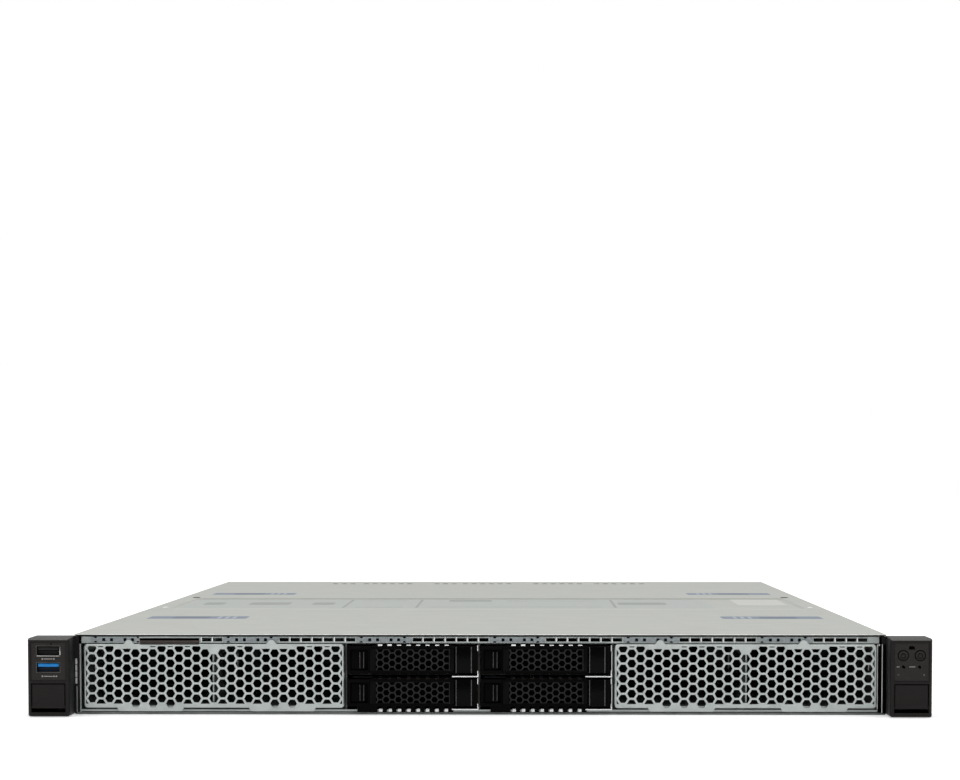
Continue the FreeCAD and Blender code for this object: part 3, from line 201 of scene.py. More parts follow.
def clouded_finish(name, sockets, dark, light, cloud_mm, detail, band, roughness, less, more,
                   edge_mm=None, relief=None, rolled=False):
    """Colour from dark to light over a band of the noise, and roughness from less to more than its mean."""
    made, tree, shader = new_material(name, sockets)
    place = add_node(tree, "ShaderNodeTexCoord").outputs["Object"]
    clouds = add_node(tree, "ShaderNodeTexNoise", {}, {"Vector": place, "Scale": 1 / (cloud_mm * MM),
                                                       "Detail": detail}).outputs["Fac"]
    ramp = add_node(tree, "ShaderNodeValToRGB", {}, {"Fac": clouds}, zip(band, (dark, light)))
    tree.links.new(ramp.outputs["Color"], shader.inputs["Base Color"])
    if rolled:
        along = add_node(tree, "ShaderNodeMapping", {}, {"Vector": place, "Scale": rolling_stretch})
        clouds = add_node(tree, "ShaderNodeTexNoise", {}, {"Vector": along.outputs["Vector"],
                                                           "Scale": 1 / (rolling_mm * MM)}).outputs["Fac"]
    gloss = add_node(tree, "ShaderNodeMapRange", {}, {"Value": clouds, "To Min": roughness - less,
                                                      "To Max": roughness + more})
    tree.links.new(gloss.outputs["Result"], shader.inputs["Roughness"])
    if edge_mm:
        normal = add_node(tree, "ShaderNodeBevel", {"samples": 4}, {"Radius": edge_mm * MM}).outputs["Normal"]
        if relief:
            strength, depth_mm = relief
            normal = add_node(tree, "ShaderNodeBump", {}, {"Height": clouds, "Strength": strength,
                                                           "Distance": depth_mm * MM,
                                                           "Normal": normal}).outputs["Normal"]
        tree.links.new(normal, shader.inputs["Normal"])
    return made


def dress(material, *names):
    """Gives one material to carried-over CAD pieces."""
    for name in names:
        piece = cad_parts[name]
        piece.data.materials.clear()
        piece.data.materials.append(material)


print("rolled marks:", rolling_mm, "mm wide, drawn out", round(1 / rolling_stretch[0]), "times as long")

# %% [markdown]
# ## Sheet steel
# The chassis is zinc-coated steel, cold rolled and plated at the mill, then punched and folded. The
# coating is satin, with a very faint cloudy mottle and fine rolling marks, and it has no paint over
# it. The mottle is a slow noise of 9 mm or more, and the rolling marks are a noise of half a
# millimetre that is stretched along one axis.

# %% Zinc-coated sheet
def zinc_sheet(name, dark, light, metallic, roughness, edge_mm=0.12, mottle_mm=9.0):
    """Satin zinc-coated steel between two hex colours."""
    return clouded_finish(name, {"Metallic": metallic}, dark, light, mottle_mm, detail=3.0, band=(0.3, 0.7),
                          roughness=roughness, less=0.05, more=0.08, edge_mm=edge_mm, relief=(0.05, 0.02),
                          rolled=True)


cover_sheet = zinc_sheet("zinc-coated cover sheet, satin", "afb1aa", "b4b6af", 0.35, 0.5, mottle_mm=22.0)
front_sheet = zinc_sheet("zinc-coated punched panel, satin", "b2b9b6", "c3c9c6", 0.75, 0.38)
strip_sheet = zinc_sheet("zinc-coated vent strip, satin", "9aa19f", "abb1ae", 0.75, 0.4)
patch_sheet = zinc_sheet("tin-plated contact patch, dull", "7a8183", "979e9f", 0.65, 0.42, mottle_mm=1.2)
# Painted shade: the hem's dark grey stands for the shade along the pan's front edge.
hem_sheet_painted_shade = zinc_sheet("zinc-coated hem, painted shade", "6a6d6d", "7e8281", 0.6, 0.5, mottle_mm=6.0)
# Painted highlight: a near-white sheet for the bright lines of light along edges, slot sides, seams and the
# sunk field.
painted_highlight_sheet = zinc_sheet("zinc-coated edge, painted highlight", "e9ebe8", "f6f7f5", 0.35, 0.32, mottle_mm=3.0)
pan_sheet = zinc_sheet("zinc-coated chassis sheet, satin", "a4a8a5", "b1b5b2", 0.6, 0.45, mottle_mm=16.0)
inner_sheet = zinc_sheet("phosphated inner sheet, dark", "4b4e4d", "5a5d5b", 0.5, 0.55)
bracket_coat = zinc_sheet("black e-coated bracket steel", "131313", "1c1c1b", 0.1, 0.5)
dress(cover_sheet, "front_cover", "rear_cover")
dress(front_sheet, "left_vent_panel", "right_vent_panel")
dress(strip_sheet, "bay_frame")
dress(pan_sheet, "chassis_pan", "rear_panel", "rear_slot_covers", "psu_cage", "riser_cage")
dress(inner_sheet, "drive_cage", "fan_wall")
dress(bracket_coat, "ear_brackets")
print("sheet finishes:", len(bpy.data.materials) - 1)

# %% [markdown]
# ## Moulded plastic
# The ears, trays and fans are injection moulded in black ABS and polycarbonate. A mould for such parts
# is spark eroded, which leaves a fine pebble on the plastic. It breaks up the highlights, so the black
# looks soft and a little brown. Parts that fingers touch are smoother. The pebble is a noise of about
# a third of a millimetre, drawn a little coarser than real so that it shows at all.

# %% Black plastics
def moulded_plastic(name, dark, light, roughness, pebble_mm=0.35, pebble=0.25, edge_mm=0.1, shine=0.22):
    """Injection-moulded plastic between two hex colours, with a spark-eroded pebble."""
    return clouded_finish(name, {"IOR": 1.5, "Specular IOR Level": shine}, dark, light, pebble_mm, detail=2.0,
                          band=(0.35, 0.68), roughness=roughness, less=0.06, more=0.1, edge_mm=edge_mm,
                          relief=(pebble, 0.05))


tray_numbers = range(1, 5)
ear_plastic = moulded_plastic("black ABS ear, spark eroded", "0e0b0a", "171412", 0.5)
panel_plastic = moulded_plastic("black ABS module face, fine", "1d1a19", "292523", 0.45, 0.45, 0.2)
tray_plastic = moulded_plastic("black polycarbonate tray, satin", "030303", "070606", 0.5, 0.3, 0.12,
                               shine=0.04)
lever_plastic = moulded_plastic("black polycarbonate lever, satin", "050505", "0a0909", 0.45, 0.3, 0.1,
                                shine=0.05)
# Painted highlight: the ribs are lighter than the lever's own black, for the light on them.
rib_plastic_painted_highlight = moulded_plastic("black polycarbonate rib, polished by handling", "1b1a1a", "262525", 0.35, 0.3,
                              0.1, shine=0.2)
release_plastic = moulded_plastic("black polycarbonate release, fine", "040303", "080707", 0.5, 0.3, 0.1,
                                  shine=0.03)
# Painted highlight: a lighter black for the light along rounded edges and on sloped faces.
edge_painted_highlight = moulded_plastic("black polycarbonate edge, rubbed", "484746", "5e5c5b", 0.28, 0.6, 0.05,
                              shine=0.3)
cap_plastic = moulded_plastic("black polycarbonate end cap, polished", "030303", "050505", 0.25, 0.8, 0.01,
                              shine=0.05)
# Black for the lamp lenses and the lamp window, and painted shade in gaps, joints, holes and seams.
black_and_painted_shade = moulded_plastic("black closed-cell seal", "020202", "050505", 0.85, 0.4, 0.1, 0.05, shine=0.01)
button_plastic = moulded_plastic("black push button, polished", "1a1614", "24201d", 0.3, 0.5, 0.05)
fan_plastic = moulded_plastic("black glass-filled PBT fan", "0d0d0d", "151515", 0.45)
socket_plastic = moulded_plastic("black nylon socket", "0f0f10", "19191a", 0.5)
dress(ear_plastic, "left_ear_housing", "right_ear_housing", "left_ear_flap", "right_ear_flap", "service_tag")
dress(panel_plastic, "module_plates")
dress(tray_plastic, *[f"tray_{n}" for n in tray_numbers])
dress(lever_plastic, *[f"tray_{part}_{n}" for part in ("lever", "release") for n in tray_numbers])
dress(button_plastic, "power_button", "id_button")
dress(fan_plastic, "fan_frames", *[f"fan_rotor_{k}" for k in range(1, 8)])
dress(socket_plastic, "board_parts")
print("finishes with the plastics:", len(bpy.data.materials) - 1)

# %% [markdown]
# ## Plated metal, boards and the rest
# The receptacles are nickel plated and bright. The circuit boards are glass laminate under a green
# solder mask, a thin gloss lacquer through which the copper shows as slightly lighter lanes. The heat
# sinks and the drives' cases are aluminium, and the latches of the power supplies a dark red plastic,
# the usual colour for something that may be touched while the server runs.

# %% Metals and boards
def plated_metal(name, dark, light, roughness, edge_mm=0.1):
    """Bright plated or cast metal, with a faint haze in its gloss."""
    return clouded_finish(name, {"Metallic": 1.0}, dark, light, cloud_mm=2.5, detail=4.0, band=(0.3, 0.7),
                          roughness=roughness, less=0.05, more=0.08, edge_mm=edge_mm)


def solder_mask(name):
    """Green lacquered laminate with lighter lanes, 9 mm long, where copper runs beneath."""
    lane_mm = 9.0
    made, tree, shader = new_material(name, {"Roughness": 0.28, "IOR": 1.5})
    place = add_node(tree, "ShaderNodeTexCoord").outputs["Object"]
    lanes = add_node(tree, "ShaderNodeTexBrick", {"offset": 0.37, "squash": 1.4, "squash_frequency": 3}, {
        "Vector": place, "Scale": 1 / (lane_mm * MM), "Mortar Size": 0.045, "Mortar": linear("1d5a36"),
        "Brick Width": 0.9, "Row Height": 0.16, "Color1": linear("0c3a22"), "Color2": linear("0a3320")})
    tree.links.new(lanes.outputs["Color"], shader.inputs["Base Color"])
    return made


nickel = plated_metal("nickel-plated shell, bright", "b5b3ae", "d0cec8", 0.22)
aluminium = plated_metal("extruded aluminium, mill finish", "b4b6b8", "c9cbcd", 0.3)
die_cast = plated_metal("die-cast aluminium drive case", "8d9092", "9fa2a4", 0.42)
screw_steel = plated_metal("zinc-plated screw", "a9a9a5", "c3c3bf", 0.3)
# Painted shade: the dark copy of the spring steel, for springs that lie in shade.
spring_steel_painted_shade = plated_metal("nickel-plated spring steel, tarnished", "332e2a", "453d37", 0.45, 0.05)
# Painted shade: a dark nickel for the port shells, which lie in shade.
nickel_painted_shade = plated_metal("nickel-plated port rim, dull", "55524d", "6b6862", 0.4, 0.05)
gold = plated_metal("gold-plated contact", "caa24a", "dcb75e", 0.25, 0.05)
supply_case = zinc_sheet("zinc-coated supply case, satin", "9fa3a1", "b2b6b3", 0.8, 0.4)
# Painted highlight: a near-white copy of the spring steel, for springs that catch the light.
spring_steel_painted_highlight = zinc_sheet("nickel-plated spring steel, bright", "eceeee", "fafafa", 0.2, 0.3, 0.05, 3.0)
green_board = solder_mask("solder mask on glass laminate")
latch_red = moulded_plastic("dark red nylon latch", "4c120e", "5f1a14", 0.42)
lead_sleeve = moulded_plastic("black flat lead, soft PVC", "101012", "1a1a1d", 0.6)
dress(nickel, "front_usb_ports", "rear_io_ports")
dress(aluminium, "cpu_heatsinks")
dress(die_cast, *[f"drive_{n}" for n in tray_numbers])
dress(screw_steel, "fasteners")
dress(supply_case, "left_psu", "right_psu")
dress(green_board, "drive_backplane", "ear_boards", "motherboard", "riser_boards", "memory_modules")
dress(latch_red, "left_psu_latch", "right_psu_latch")
dress(lead_sleeve, "data_leads")
print("finishes with metals and boards:", len(bpy.data.materials) - 1)

# %% [markdown]
# ## Ports, lamps and labels
# What is left is small. The tongue and the lining of the faster port are bright and dark blue nylon.
# The network jacks have a green and an amber lamp, each a smooth polycarbonate lens. Labels are printed
# polyester film: the paper-like base has a faint fibre cloud, and a satin lacquer over it. Ink of the
# marks by the ports is a thin matt grey.

# %% Small finishes
def printed_film(name, dark, light, roughness=0.45, fibre_mm=3.0):
    """Lacquered polyester film with a faint fibre in its print, between two hex colours."""
    return clouded_finish(name, {"IOR": 1.5, "Specular IOR Level": 0.35}, dark, light, fibre_mm, detail=5.0,
                          band=(0.32, 0.7), roughness=roughness, less=0.05, more=0.07)


port_blue = moulded_plastic("blue nylon port tongue", "1876bd", "2384cc", 0.4, 0.4, 0.1, 0.05)
port_blue_dark = moulded_plastic("dark blue nylon port lining", "07192a", "0a2238", 0.5, 0.4, 0.1, 0.05)
lamp_green = moulded_plastic("green polycarbonate lamp lens", "1f7a3c", "2a8f49", 0.2, 0.6, 0.02, shine=0.5)
lamp_amber = moulded_plastic("amber polycarbonate lamp lens", "b5741c", "c98a2b", 0.2, 0.6, 0.02, shine=0.5)
tag_plastic = moulded_plastic("dark grey card of the service tag", "3b3432", "4e4542", 0.5, 0.4, 0.15, 0.2)
mark_ink = printed_film("matt grey ink", "8b8986", "a3a19d", 0.7, 0.5)
lamp_ink = printed_film("matt grey ink, thin", "6f6c69", "7f7c79", 0.7, 0.5)
faint_ink = printed_film("matt grey ink, worn", "4f4c4a", "5d5a57", 0.7, 0.5)
pale_label = printed_film("pale film label", "b9bcbc", "c8cbca")
bar_label = printed_film("pale print", "939eae", "a3adbb")
white_label = printed_film("white film label", "bfc0bb", "c9cac5", 0.5)
blue_label = printed_film("blue film label", "57687f", "687990", 0.45, 1.6)
blue_dark_label = printed_film("dark blue print", "384a64", "475973", 0.45, 1.6)
grey_label = printed_film("grey film label", "a6aba8", "b1b6b2", 0.5, 4.0)
grey_dark_label = printed_film("dark grey print", "868b86", "989d97", 0.5, 2.0)
print("finishes in all:", len(bpy.data.materials) - 1)

# %% [markdown]
# ## How the small parts are modelled
# What follows is modelled the way a modeller works by hand: a primitive is added at its size and place,
# shaped in edit mode, cut or joined with others, and its edges are rounded. Places are given in
# millimetres from the front plane of the drive bays, which is where the front cover ends.

# %% Places and primitives
front_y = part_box("front_cover")[0].y


def at(x, y, z):
    """A point in mm: to the right of the middle, back from the bays' front plane, up from the floor."""
    return Vector((x * MM, y * MM + front_y, z * MM + floor_z))


def in_mm(point):
    """The x, y and z of a point as at() takes them."""
    return point.x / MM, (point.y - front_y) / MM, (point.z - floor_z) / MM


def span(middle, half):
    return middle - half, middle + half


def only(piece):
    """Selects one piece alone and makes it the active one."""
    bpy.ops.object.select_all(action="DESELECT")
    piece.select_set(True)
    bpy.context.view_layer.objects.active = piece


def settle(name):
    """Puts the place and size of the active object into its mesh, and names it."""
    bpy.ops.object.transform_apply(location=True, rotation=True, scale=True)
    bpy.context.object.name = name
    return bpy.context.object


def add_box(name, low, high):
    """A cube stretched between two corners."""
    bpy.ops.object.select_all(action="DESELECT")
    bpy.ops.mesh.primitive_cube_add(size=1.0, location=(low + high) / 2)
    bpy.context.object.scale = high - low
    return settle(name)


def block(name, x, y, z):
    """A box between (low, high) pairs in mm."""
    return add_box(name, at(x[0], y[0], z[0]), at(x[1], y[1], z[1]))


def add_round(name, start, end, radius, sides=32):
    """A cylinder between two points, with its radius in mm."""
    bpy.ops.object.select_all(action="DESELECT")
    along = end - start
    bpy.ops.mesh.primitive_cylinder_add(vertices=sides, radius=radius * MM, depth=along.length,
                                        location=(start + end) / 2,
                                        rotation=along.to_track_quat("Z", "Y").to_euler())
    return settle(name)


def rod(name, x, y, z, radius, sides=32):
    """A cylinder that runs back between a (low, high) pair of depths in mm."""
    return add_round(name, at(x, y[0], z), at(x, y[1], z), radius, sides)


print("front plane of the bays at y in mm:", round(front_y / MM, 1))

# %% Modifiers, edit mode and finish
def modify(piece, kind, **settings):
    """Adds one modifier, sets it and applies it."""
    only(piece)
    modifier = piece.modifiers.new(kind.lower(), kind)
    for key, value in settings.items():
        setattr(modifier, key, value)
    bpy.ops.object.modifier_apply(modifier=modifier.name)


def carve(piece, *cutters, operation="DIFFERENCE"):
    """Cuts other pieces out of one, or welds them to it, and deletes them."""
    for cutter in cutters:
        modify(piece, "BOOLEAN", object=cutter, operation=operation, solver="EXACT")
        bpy.data.objects.remove(cutter)
    return piece


def join(piece, *others):
    """Makes several pieces one object, with their meshes side by side."""
    only(piece)
    for other in others:
        other.select_set(True)
    bpy.ops.object.join()
    return piece


def round_edges(piece, width, segments=2, angle=35):
    """Rounds every edge that turns by more than an angle, and shades the rest smooth."""
    modify(piece, "BEVEL", width=width * MM, segments=segments, limit_method="ANGLE",
           angle_limit=math.radians(angle))
    only(piece)
    bpy.ops.object.shade_smooth_by_angle(angle=math.radians(40))
    return piece


def pick(piece, test, edges=False):
    """Goes into edit mode with the faces, or edges, selected whose middle and direction pass a test."""
    only(piece)
    bpy.ops.object.mode_set(mode="EDIT")
    bpy.context.tool_settings.mesh_select_mode = (False, edges, not edges)
    bpy.ops.mesh.select_all(action="DESELECT")
    mesh = bmesh.from_edit_mesh(piece.data)
    if edges:
        for edge in mesh.edges:
            a, b = (v.co for v in edge.verts)
            edge.select_set(test((a + b) / 2, (b - a).normalized()))
    else:
        for face in mesh.faces:
            face.select_set(test(face.calc_center_median(), face.normal))
    bmesh.update_edit_mesh(piece.data)


def leave_edit():
    bpy.ops.object.mode_set(mode="OBJECT")


def paint(piece, *finishes):
    """Gives a piece its finishes, one for each of its material numbers."""
    piece.data.materials.clear()
    for finish in finishes:
        piece.data.materials.append(finish)
    return piece


def finish_piece(piece, material, body, slot, *replaced):
    """Gives a piece its finish, the body that it moves with and the CAD nodes that it stands for."""
    if material:
        paint(piece, material)
    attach(piece, body)
    if replaced:
        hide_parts(*replaced)
    return piece


print("a piece is cut, rounded, painted and given to its body")

# %% [markdown]
# ## The latch lever of a tray
# Each tray is pulled by a lever that covers most of its face. The lever is a frame round a fine
# hexagon grille, because the drive behind it breathes through it. The grille could be a pattern on a
# flat plate, but real ribs cast shadows into the holes when the lever swings out. So one cell is made
# as a ring, repeated with three Array modifiers, trimmed to the window and given its thickness.

# %% Hexagon grille
cell_pitch, cell_flats, rib_depth, first_cell = 3.77, 3.0, 0.9, 2.6
cell_columns, cell_rows = 16, 7
column_step = cell_pitch * math.sqrt(3) / 2
lever_low, lever_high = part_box("tray_lever_1")
window_low = lever_low + Vector((3.4, 0.0, 0.65)) * MM
window_high = lever_high - Vector((3.55, 0.0, 0.65)) * MM


def repeat(piece, step, count):
    """Repeats a piece's mesh at a step in mm."""
    modify(piece, "ARRAY", use_relative_offset=False, use_constant_offset=True,
           constant_offset_displace=Vector(step) * MM, count=count)


def hexagon_grille(name, low, high, face):
    """A sheet of hexagonal holes between two corners, its face at a given depth."""
    bpy.ops.object.select_all(action="DESELECT")
    start = Vector((low.x + first_cell * MM, face, (low.z + high.z) / 2 - cell_rows / 2 * cell_pitch * MM))
    bpy.ops.mesh.primitive_circle_add(vertices=6, radius=cell_pitch / math.sqrt(3) * MM, fill_type="NGON",
                                      location=start, rotation=(math.radians(90), math.radians(30), 0))
    grille = settle(name)
    bpy.ops.object.mode_set(mode="EDIT")
    bpy.ops.mesh.select_all(action="SELECT")
    bpy.ops.mesh.inset(thickness=(cell_pitch - cell_flats) / 2 * MM)
    bpy.ops.mesh.delete(type="FACE")
    leave_edit()
    repeat(grille, (-column_step, 0, cell_pitch / 2), 2)
    repeat(grille, (2 * column_step, 0, 0), cell_columns // 2)
    repeat(grille, (0, 0, cell_pitch), cell_rows)
    bpy.ops.object.mode_set(mode="EDIT")
    bpy.ops.mesh.select_all(action="SELECT")
    bpy.ops.mesh.remove_doubles(threshold=0.01 * MM)
    for point, outward in ((low, (-1, 0, 0)), (high, (1, 0, 0)), (low, (0, 0, -1)), (high, (0, 0, 1))):
        bpy.ops.mesh.select_all(action="SELECT")
        bpy.ops.mesh.bisect(plane_co=point, plane_no=outward, clear_outer=True)
    leave_edit()
    modify(grille, "SOLIDIFY", thickness=rib_depth * MM, offset=-1.0)
    modify(grille, "BEVEL", width=0.1 * MM, segments=1, limit_method="ANGLE", angle_limit=math.radians(75))
    # The ribs get the lighter finish of painted highlight.
    return paint(grille, rib_plastic_painted_highlight)


print("ribs between the cells:", round(cell_pitch - cell_flats, 2), "mm wide and", rib_depth, "mm deep")

# %% One lever, then its three copies
barrel_radius, overlap_mm = 1.75, 0.3


def latch_lever():
    """The frame and barrel of a lever, with its window, and the grille and a rib set into it."""
    pivot = lever_high.x - barrel_radius * MM
    middle = (lever_low.y + lever_high.y) / 2
    lever = add_box("lever_1", lever_low, Vector((pivot, lever_high.y, lever_high.z)))
    foot, top = (Vector((pivot, middle, z)) for z in (lever_low.z, lever_high.z))
    carve(lever, add_round("barrel", foot, top, barrel_radius), operation="UNION")
    through = Vector((0, 5 * MM, 0))
    carve(lever, add_box("window", window_low - through, window_high + through))
    paint(round_edges(lever, 0.22), lever_plastic)
    overlap = Vector((1, 0, 1)) * overlap_mm * MM
    grille = hexagon_grille("grille", window_low - overlap, window_high + overlap,
                            lever_low.y + overlap_mm * MM)
    # The upright rib by the barrel carries a painted highlight.
    rib = add_box("rib", Vector((pivot - 1.55 * MM, lever_low.y - 0.02 * MM, lever_low.z + overlap_mm * MM)),
                  Vector((pivot - 1.15 * MM, lever_low.y + 1.0 * MM, lever_high.z - overlap_mm * MM)))
    return join(lever, grille, paint(round_edges(rib, 0.1), rib_plastic_painted_highlight))


def move(piece, offset):
    """Moves a piece, with its place still in its mesh."""
    only(piece)
    bpy.ops.transform.translate(value=offset)
    return settle(piece.name)


def copy_piece(piece, name, offset=Vector((0, 0, 0))):
    """A copy with a mesh of its own, moved by an offset."""
    only(piece)
    bpy.ops.object.duplicate()
    bpy.context.object.name = name
    return move(bpy.context.object, offset)


def tray_step(n):
    """From the first tray to another one."""
    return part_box(f"tray_lever_{n}")[0] - lever_low


def for_each_tray(**firsts):
    """Pieces of the first tray, by name, and copies of them for each other tray, tray by tray."""
    copies = [[copy_piece(first, f"{name}_{n}", tray_step(n)) for name, first in firsts.items()]
              for n in tray_numbers[1:]]
    return [list(firsts.values()), *copies]


levers = [pieces[0] for pieces in for_each_tray(lever=latch_lever())]
for n, lever in zip(tray_numbers, levers):
    finish_piece(lever, None, f"lever_{n}", "lever_plastic", f"tray_lever_{n}")
print("lever grille: cells of", cell_flats, "mm, faces in one lever:", len(levers[0].data.polygons))

# %% [markdown]
# ## Thumb release, end cap and springs of a tray
# A thumb slide frees the lever: a pad in a square dish, with an upright ridge for the thumb, whose front
# edges carry a painted highlight. At the other end of the face sits a polished cap, whose rounded edges
# show as two bright lines of painted highlight. Thin spring fingers stand in the gaps of the toothed
# bezel and along one side. They ground the tray to the steel round it; their near-white finish is a
# painted highlight, and the dark finish on some of them a painted shade. All of them are boxes with
# their edges bevelled by different amounts.

# %% Release and end cap
tray_1_corner = lever_low - Vector((12.1, 0, 1.1)) * MM
tray_right = 70.9
TINY = 1e-5


def tray_block(name, x, y, z):
    """A box between (low, high) pairs in mm from the lower left corner of the first tray's face."""
    return add_box(name, *[tray_1_corner + Vector((x[end], y[end], z[end])) * MM for end in (0, 1)])


def upright(middle, way):
    return abs(way.z) > 0.9


def bevel(piece, test, width, segments, edges=True, material=-1):
    """Bevels the picked edges by a width in mm, and may give the new faces a material of their own."""
    pick(piece, test, edges)
    bpy.ops.mesh.bevel(offset=width * MM, segments=segments, material=material)
    leave_edit()
    return piece


def thumb_release():
    """The pad in its dish, with a ridge whose two front edges carry a painted highlight."""
    low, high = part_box("tray_release_1")
    pad = add_box("release_1", low + Vector((0, 0.75 * MM, 0)), high)
    ridge = add_box("ridge", Vector((high.x - 2.5 * MM, low.y, low.z + 0.9 * MM)),
                    high - Vector((0.1, 0.4, 0.9)) * MM)
    paint(ridge, release_plastic, edge_painted_highlight)
    bevel(ridge, lambda middle, way: upright(middle, way) and middle.y < low.y + TINY, 0.3, 2, material=1)
    return round_edges(join(paint(pad, release_plastic), ridge), 0.12)


def end_cap():
    """A polished cap. Its two upright edges are rounded and carry a painted highlight."""
    left, right, front = 58.6, 67.4, -0.25
    cap = paint(tray_block("cap_1", (left, right), (front, 0.5), (0.35, 14.45)), cap_plastic, edge_painted_highlight)
    face_y = tray_1_corner.y + front * MM
    for x, width in ((left, 0.4), (right, 0.55)):
        edge_x = tray_1_corner.x + x * MM
        bevel(cap, lambda middle, way: upright(middle, way) and abs(middle.x - edge_x) < TINY
              and middle.y < face_y + TINY, width, 3, material=1)
    return round_edges(cap, 0.1, 2, 50)


print("first tray's corner:", [round(value, 2) for value in in_mm(tray_1_corner)])

# %% Spring fingers
tooth_pitch, sill_pitch, first_tooth, tooth_gaps = 5.13, 5.06, 17.75, 8


def finger_row(name, first, count, z, width, height, front, finish=spring_steel_painted_highlight, pitch=tooth_pitch):
    """Spring fingers that stand in the gaps of the teeth, with their tips bent back."""
    finger = tray_block(name, span(first, width / 2), (front, front + 2.0), (z, z + height))
    face_y, top = tray_1_corner.y + front * MM, tray_1_corner.z + (z + height) * MM
    pick(finger, lambda middle, way: abs(way.x) > 0.9 and middle.y < face_y + TINY and middle.z > top - TINY,
         edges=True)
    bpy.ops.transform.translate(value=(0, 0.7 * height * MM, 0))
    leave_edit()
    repeat(finger, (pitch, 0, 0), count)
    return paint(finger, finish)


def side_spring(z, length, width, finish=spring_steel_painted_highlight):
    """A strip of spring along the right side of the face."""
    return paint(tray_block("side", (tray_right - width, tray_right), (-0.15, 5.0), (z, z + length)), finish)


def tray_springs(n):
    """The fingers above and below one tray, and the springs that hold it to the steel beside it."""
    lower, right = n in (2, 4), n in (3, 4)
    name = f"springs_{n}"
    # The lower trays' top fingers and the left trays' long side spring get the painted shade, all other
    # springs the painted highlight.
    if lower:
        parts = [finger_row(name, first_tooth, tooth_gaps, z=14.75, width=2.3, height=0.6, front=0.5,
                            finish=spring_steel_painted_shade),
                 finger_row("sill", first_tooth + 0.4, tooth_gaps, z=-2.8, width=1.8, height=1.5, front=-0.6,
                            pitch=sill_pitch)]
    else:
        first = first_tooth + 0.1
        parts = [finger_row(name, first, 2, z=15.0, width=2.3, height=0.75, front=-0.6),
                 finger_row("worn", first + 2 * tooth_pitch, tooth_gaps - 2, z=15.1, width=2.2, height=0.45,
                            front=-0.3)]
    parts.append(side_spring(z=-0.3, length=15.4, width=0.25, finish=spring_steel_painted_highlight if right else spring_steel_painted_shade))
    parts.append(side_spring(z=12.2, length=3.0, width=0.6))
    parts.append(side_spring(z=-1.9, length=3.4, width=0.6))
    bar = paint(tray_block("bar", (56.6, tray_right), (-0.5, -0.1), (-1.85, -1.3)), spring_steel_painted_highlight)
    pick(bar, lambda middle, normal: normal.z < -0.9)
    bpy.ops.mesh.subdivide(number_cuts=9)
    leave_edit()
    return move(round_edges(join(*parts, bar), 0.1, 1), tray_step(n))


print("a row of", tooth_gaps, "fingers spans", round((tooth_gaps - 1) * tooth_pitch, 1), "mm")

# %% Drive face, and all four trays
def front_faces(middle, normal):
    return normal.y < -0.9


def sink(piece, *steps, test=front_faces):
    """Insets the picked face by each step's width, and pushes it back by its depth, both in mm."""
    pick(piece, test)
    for width, depth in steps:
        bpy.ops.mesh.inset(thickness=width * MM)
        bpy.ops.transform.translate(value=(0, depth * MM, 0))
    leave_edit()
    return piece


def drive_face():
    """The dark shroud over the front of a drive, with a groove round it, seen through the grille."""
    face = tray_block("drive_face_1", (1.4, 68.6), (15.2, 15.9), (0.9, 14.2))
    return paint(round_edges(sink(face, (1.6, 0), (0.4, 0.3)), 0.12), tray_plastic)


trays = for_each_tray(cap=end_cap(), release=thumb_release(), drive_face=drive_face())
for n, (cap, release, face) in zip(tray_numbers, trays):
    unit = f"tray_unit_{n}"
    finish_piece(cap, None, unit, "tray_plastic")
    finish_piece(release, None, f"release_{n}", "release_plastic", f"tray_release_{n}")
    finish_piece(face, None, unit, "tray_plastic")
    finish_piece(tray_springs(n), None, unit, "port_shell")
print("each of", len(trays), "trays has a cap, a release, a drive face and springs")

# %% [markdown]
# ## The two front ports
# A receptacle is a folded, plated shell round a plastic tongue. The colour of the tongue tells its
# kind: black for the slower port and blue for the faster one. The shell is a box hollowed with a
# Boolean. Its dark colour is painted shade, and a thin bright bar on the upper one is a painted
# highlight.

# %% Front ports
port_half = Vector((13.1 / 2, 0, 5.7 / 2)) * MM
shell_wall = Vector((0.35, 0, 0.35)) * MM
port_low, port_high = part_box("front_usb_ports")
port_x = (port_low.x + port_high.x) / 2
port_length = Vector((0, port_high.y - port_low.y, 0))
upper_port = Vector((port_x, port_low.y, port_high.z - port_half.z))
lower_port = Vector((port_x, port_low.y, port_low.z + port_half.z))


def receptacle(name, middle, tongue_finish, lining_finish):
    """The plated shell of a port that faces forward, with a tongue and a lining inside it."""
    shell = add_box(name, middle - port_half, middle + port_half + port_length)
    hollow = port_half - shell_wall
    carve(shell, add_box("mouth", middle - hollow - Vector((0, MM, 0)),
                         middle + hollow + port_length - Vector((0, 1.5 * MM, 0))))
    tongue = add_box(f"{name}_tongue", middle + Vector((-5.6, 0.7, 0.25)) * MM,
                     middle + port_length + Vector((5.6, -2.0, 2.0)) * MM)
    finish_piece(round_edges(tongue, 0.2, 2), tongue_finish, "chassis", "connector_plastic")
    lining = add_box(f"{name}_lining", middle + Vector((-6.1, 2.2, -2.4)) * MM,
                     middle + Vector((6.1, 9.0, -0.2)) * MM)
    pick(lining, front_faces)
    bpy.ops.mesh.inset(thickness=0.3 * MM)
    bpy.ops.mesh.extrude_region_move(TRANSFORM_OT_translate={"value": (0, 1.0 * MM, 0)})
    leave_edit()
    finish_piece(lining, lining_finish, "chassis", "connector_plastic")
    return round_edges(shell, 0.16, 2)


shells = [receptacle("slow_port", upper_port, socket_plastic, socket_plastic),
          receptacle("fast_port", lower_port, port_blue, port_blue_dark)]
# The shells get the dark nickel of painted shade.
finish_piece(join(*shells), nickel_painted_shade, "chassis", "port_shell", "front_usb_ports")


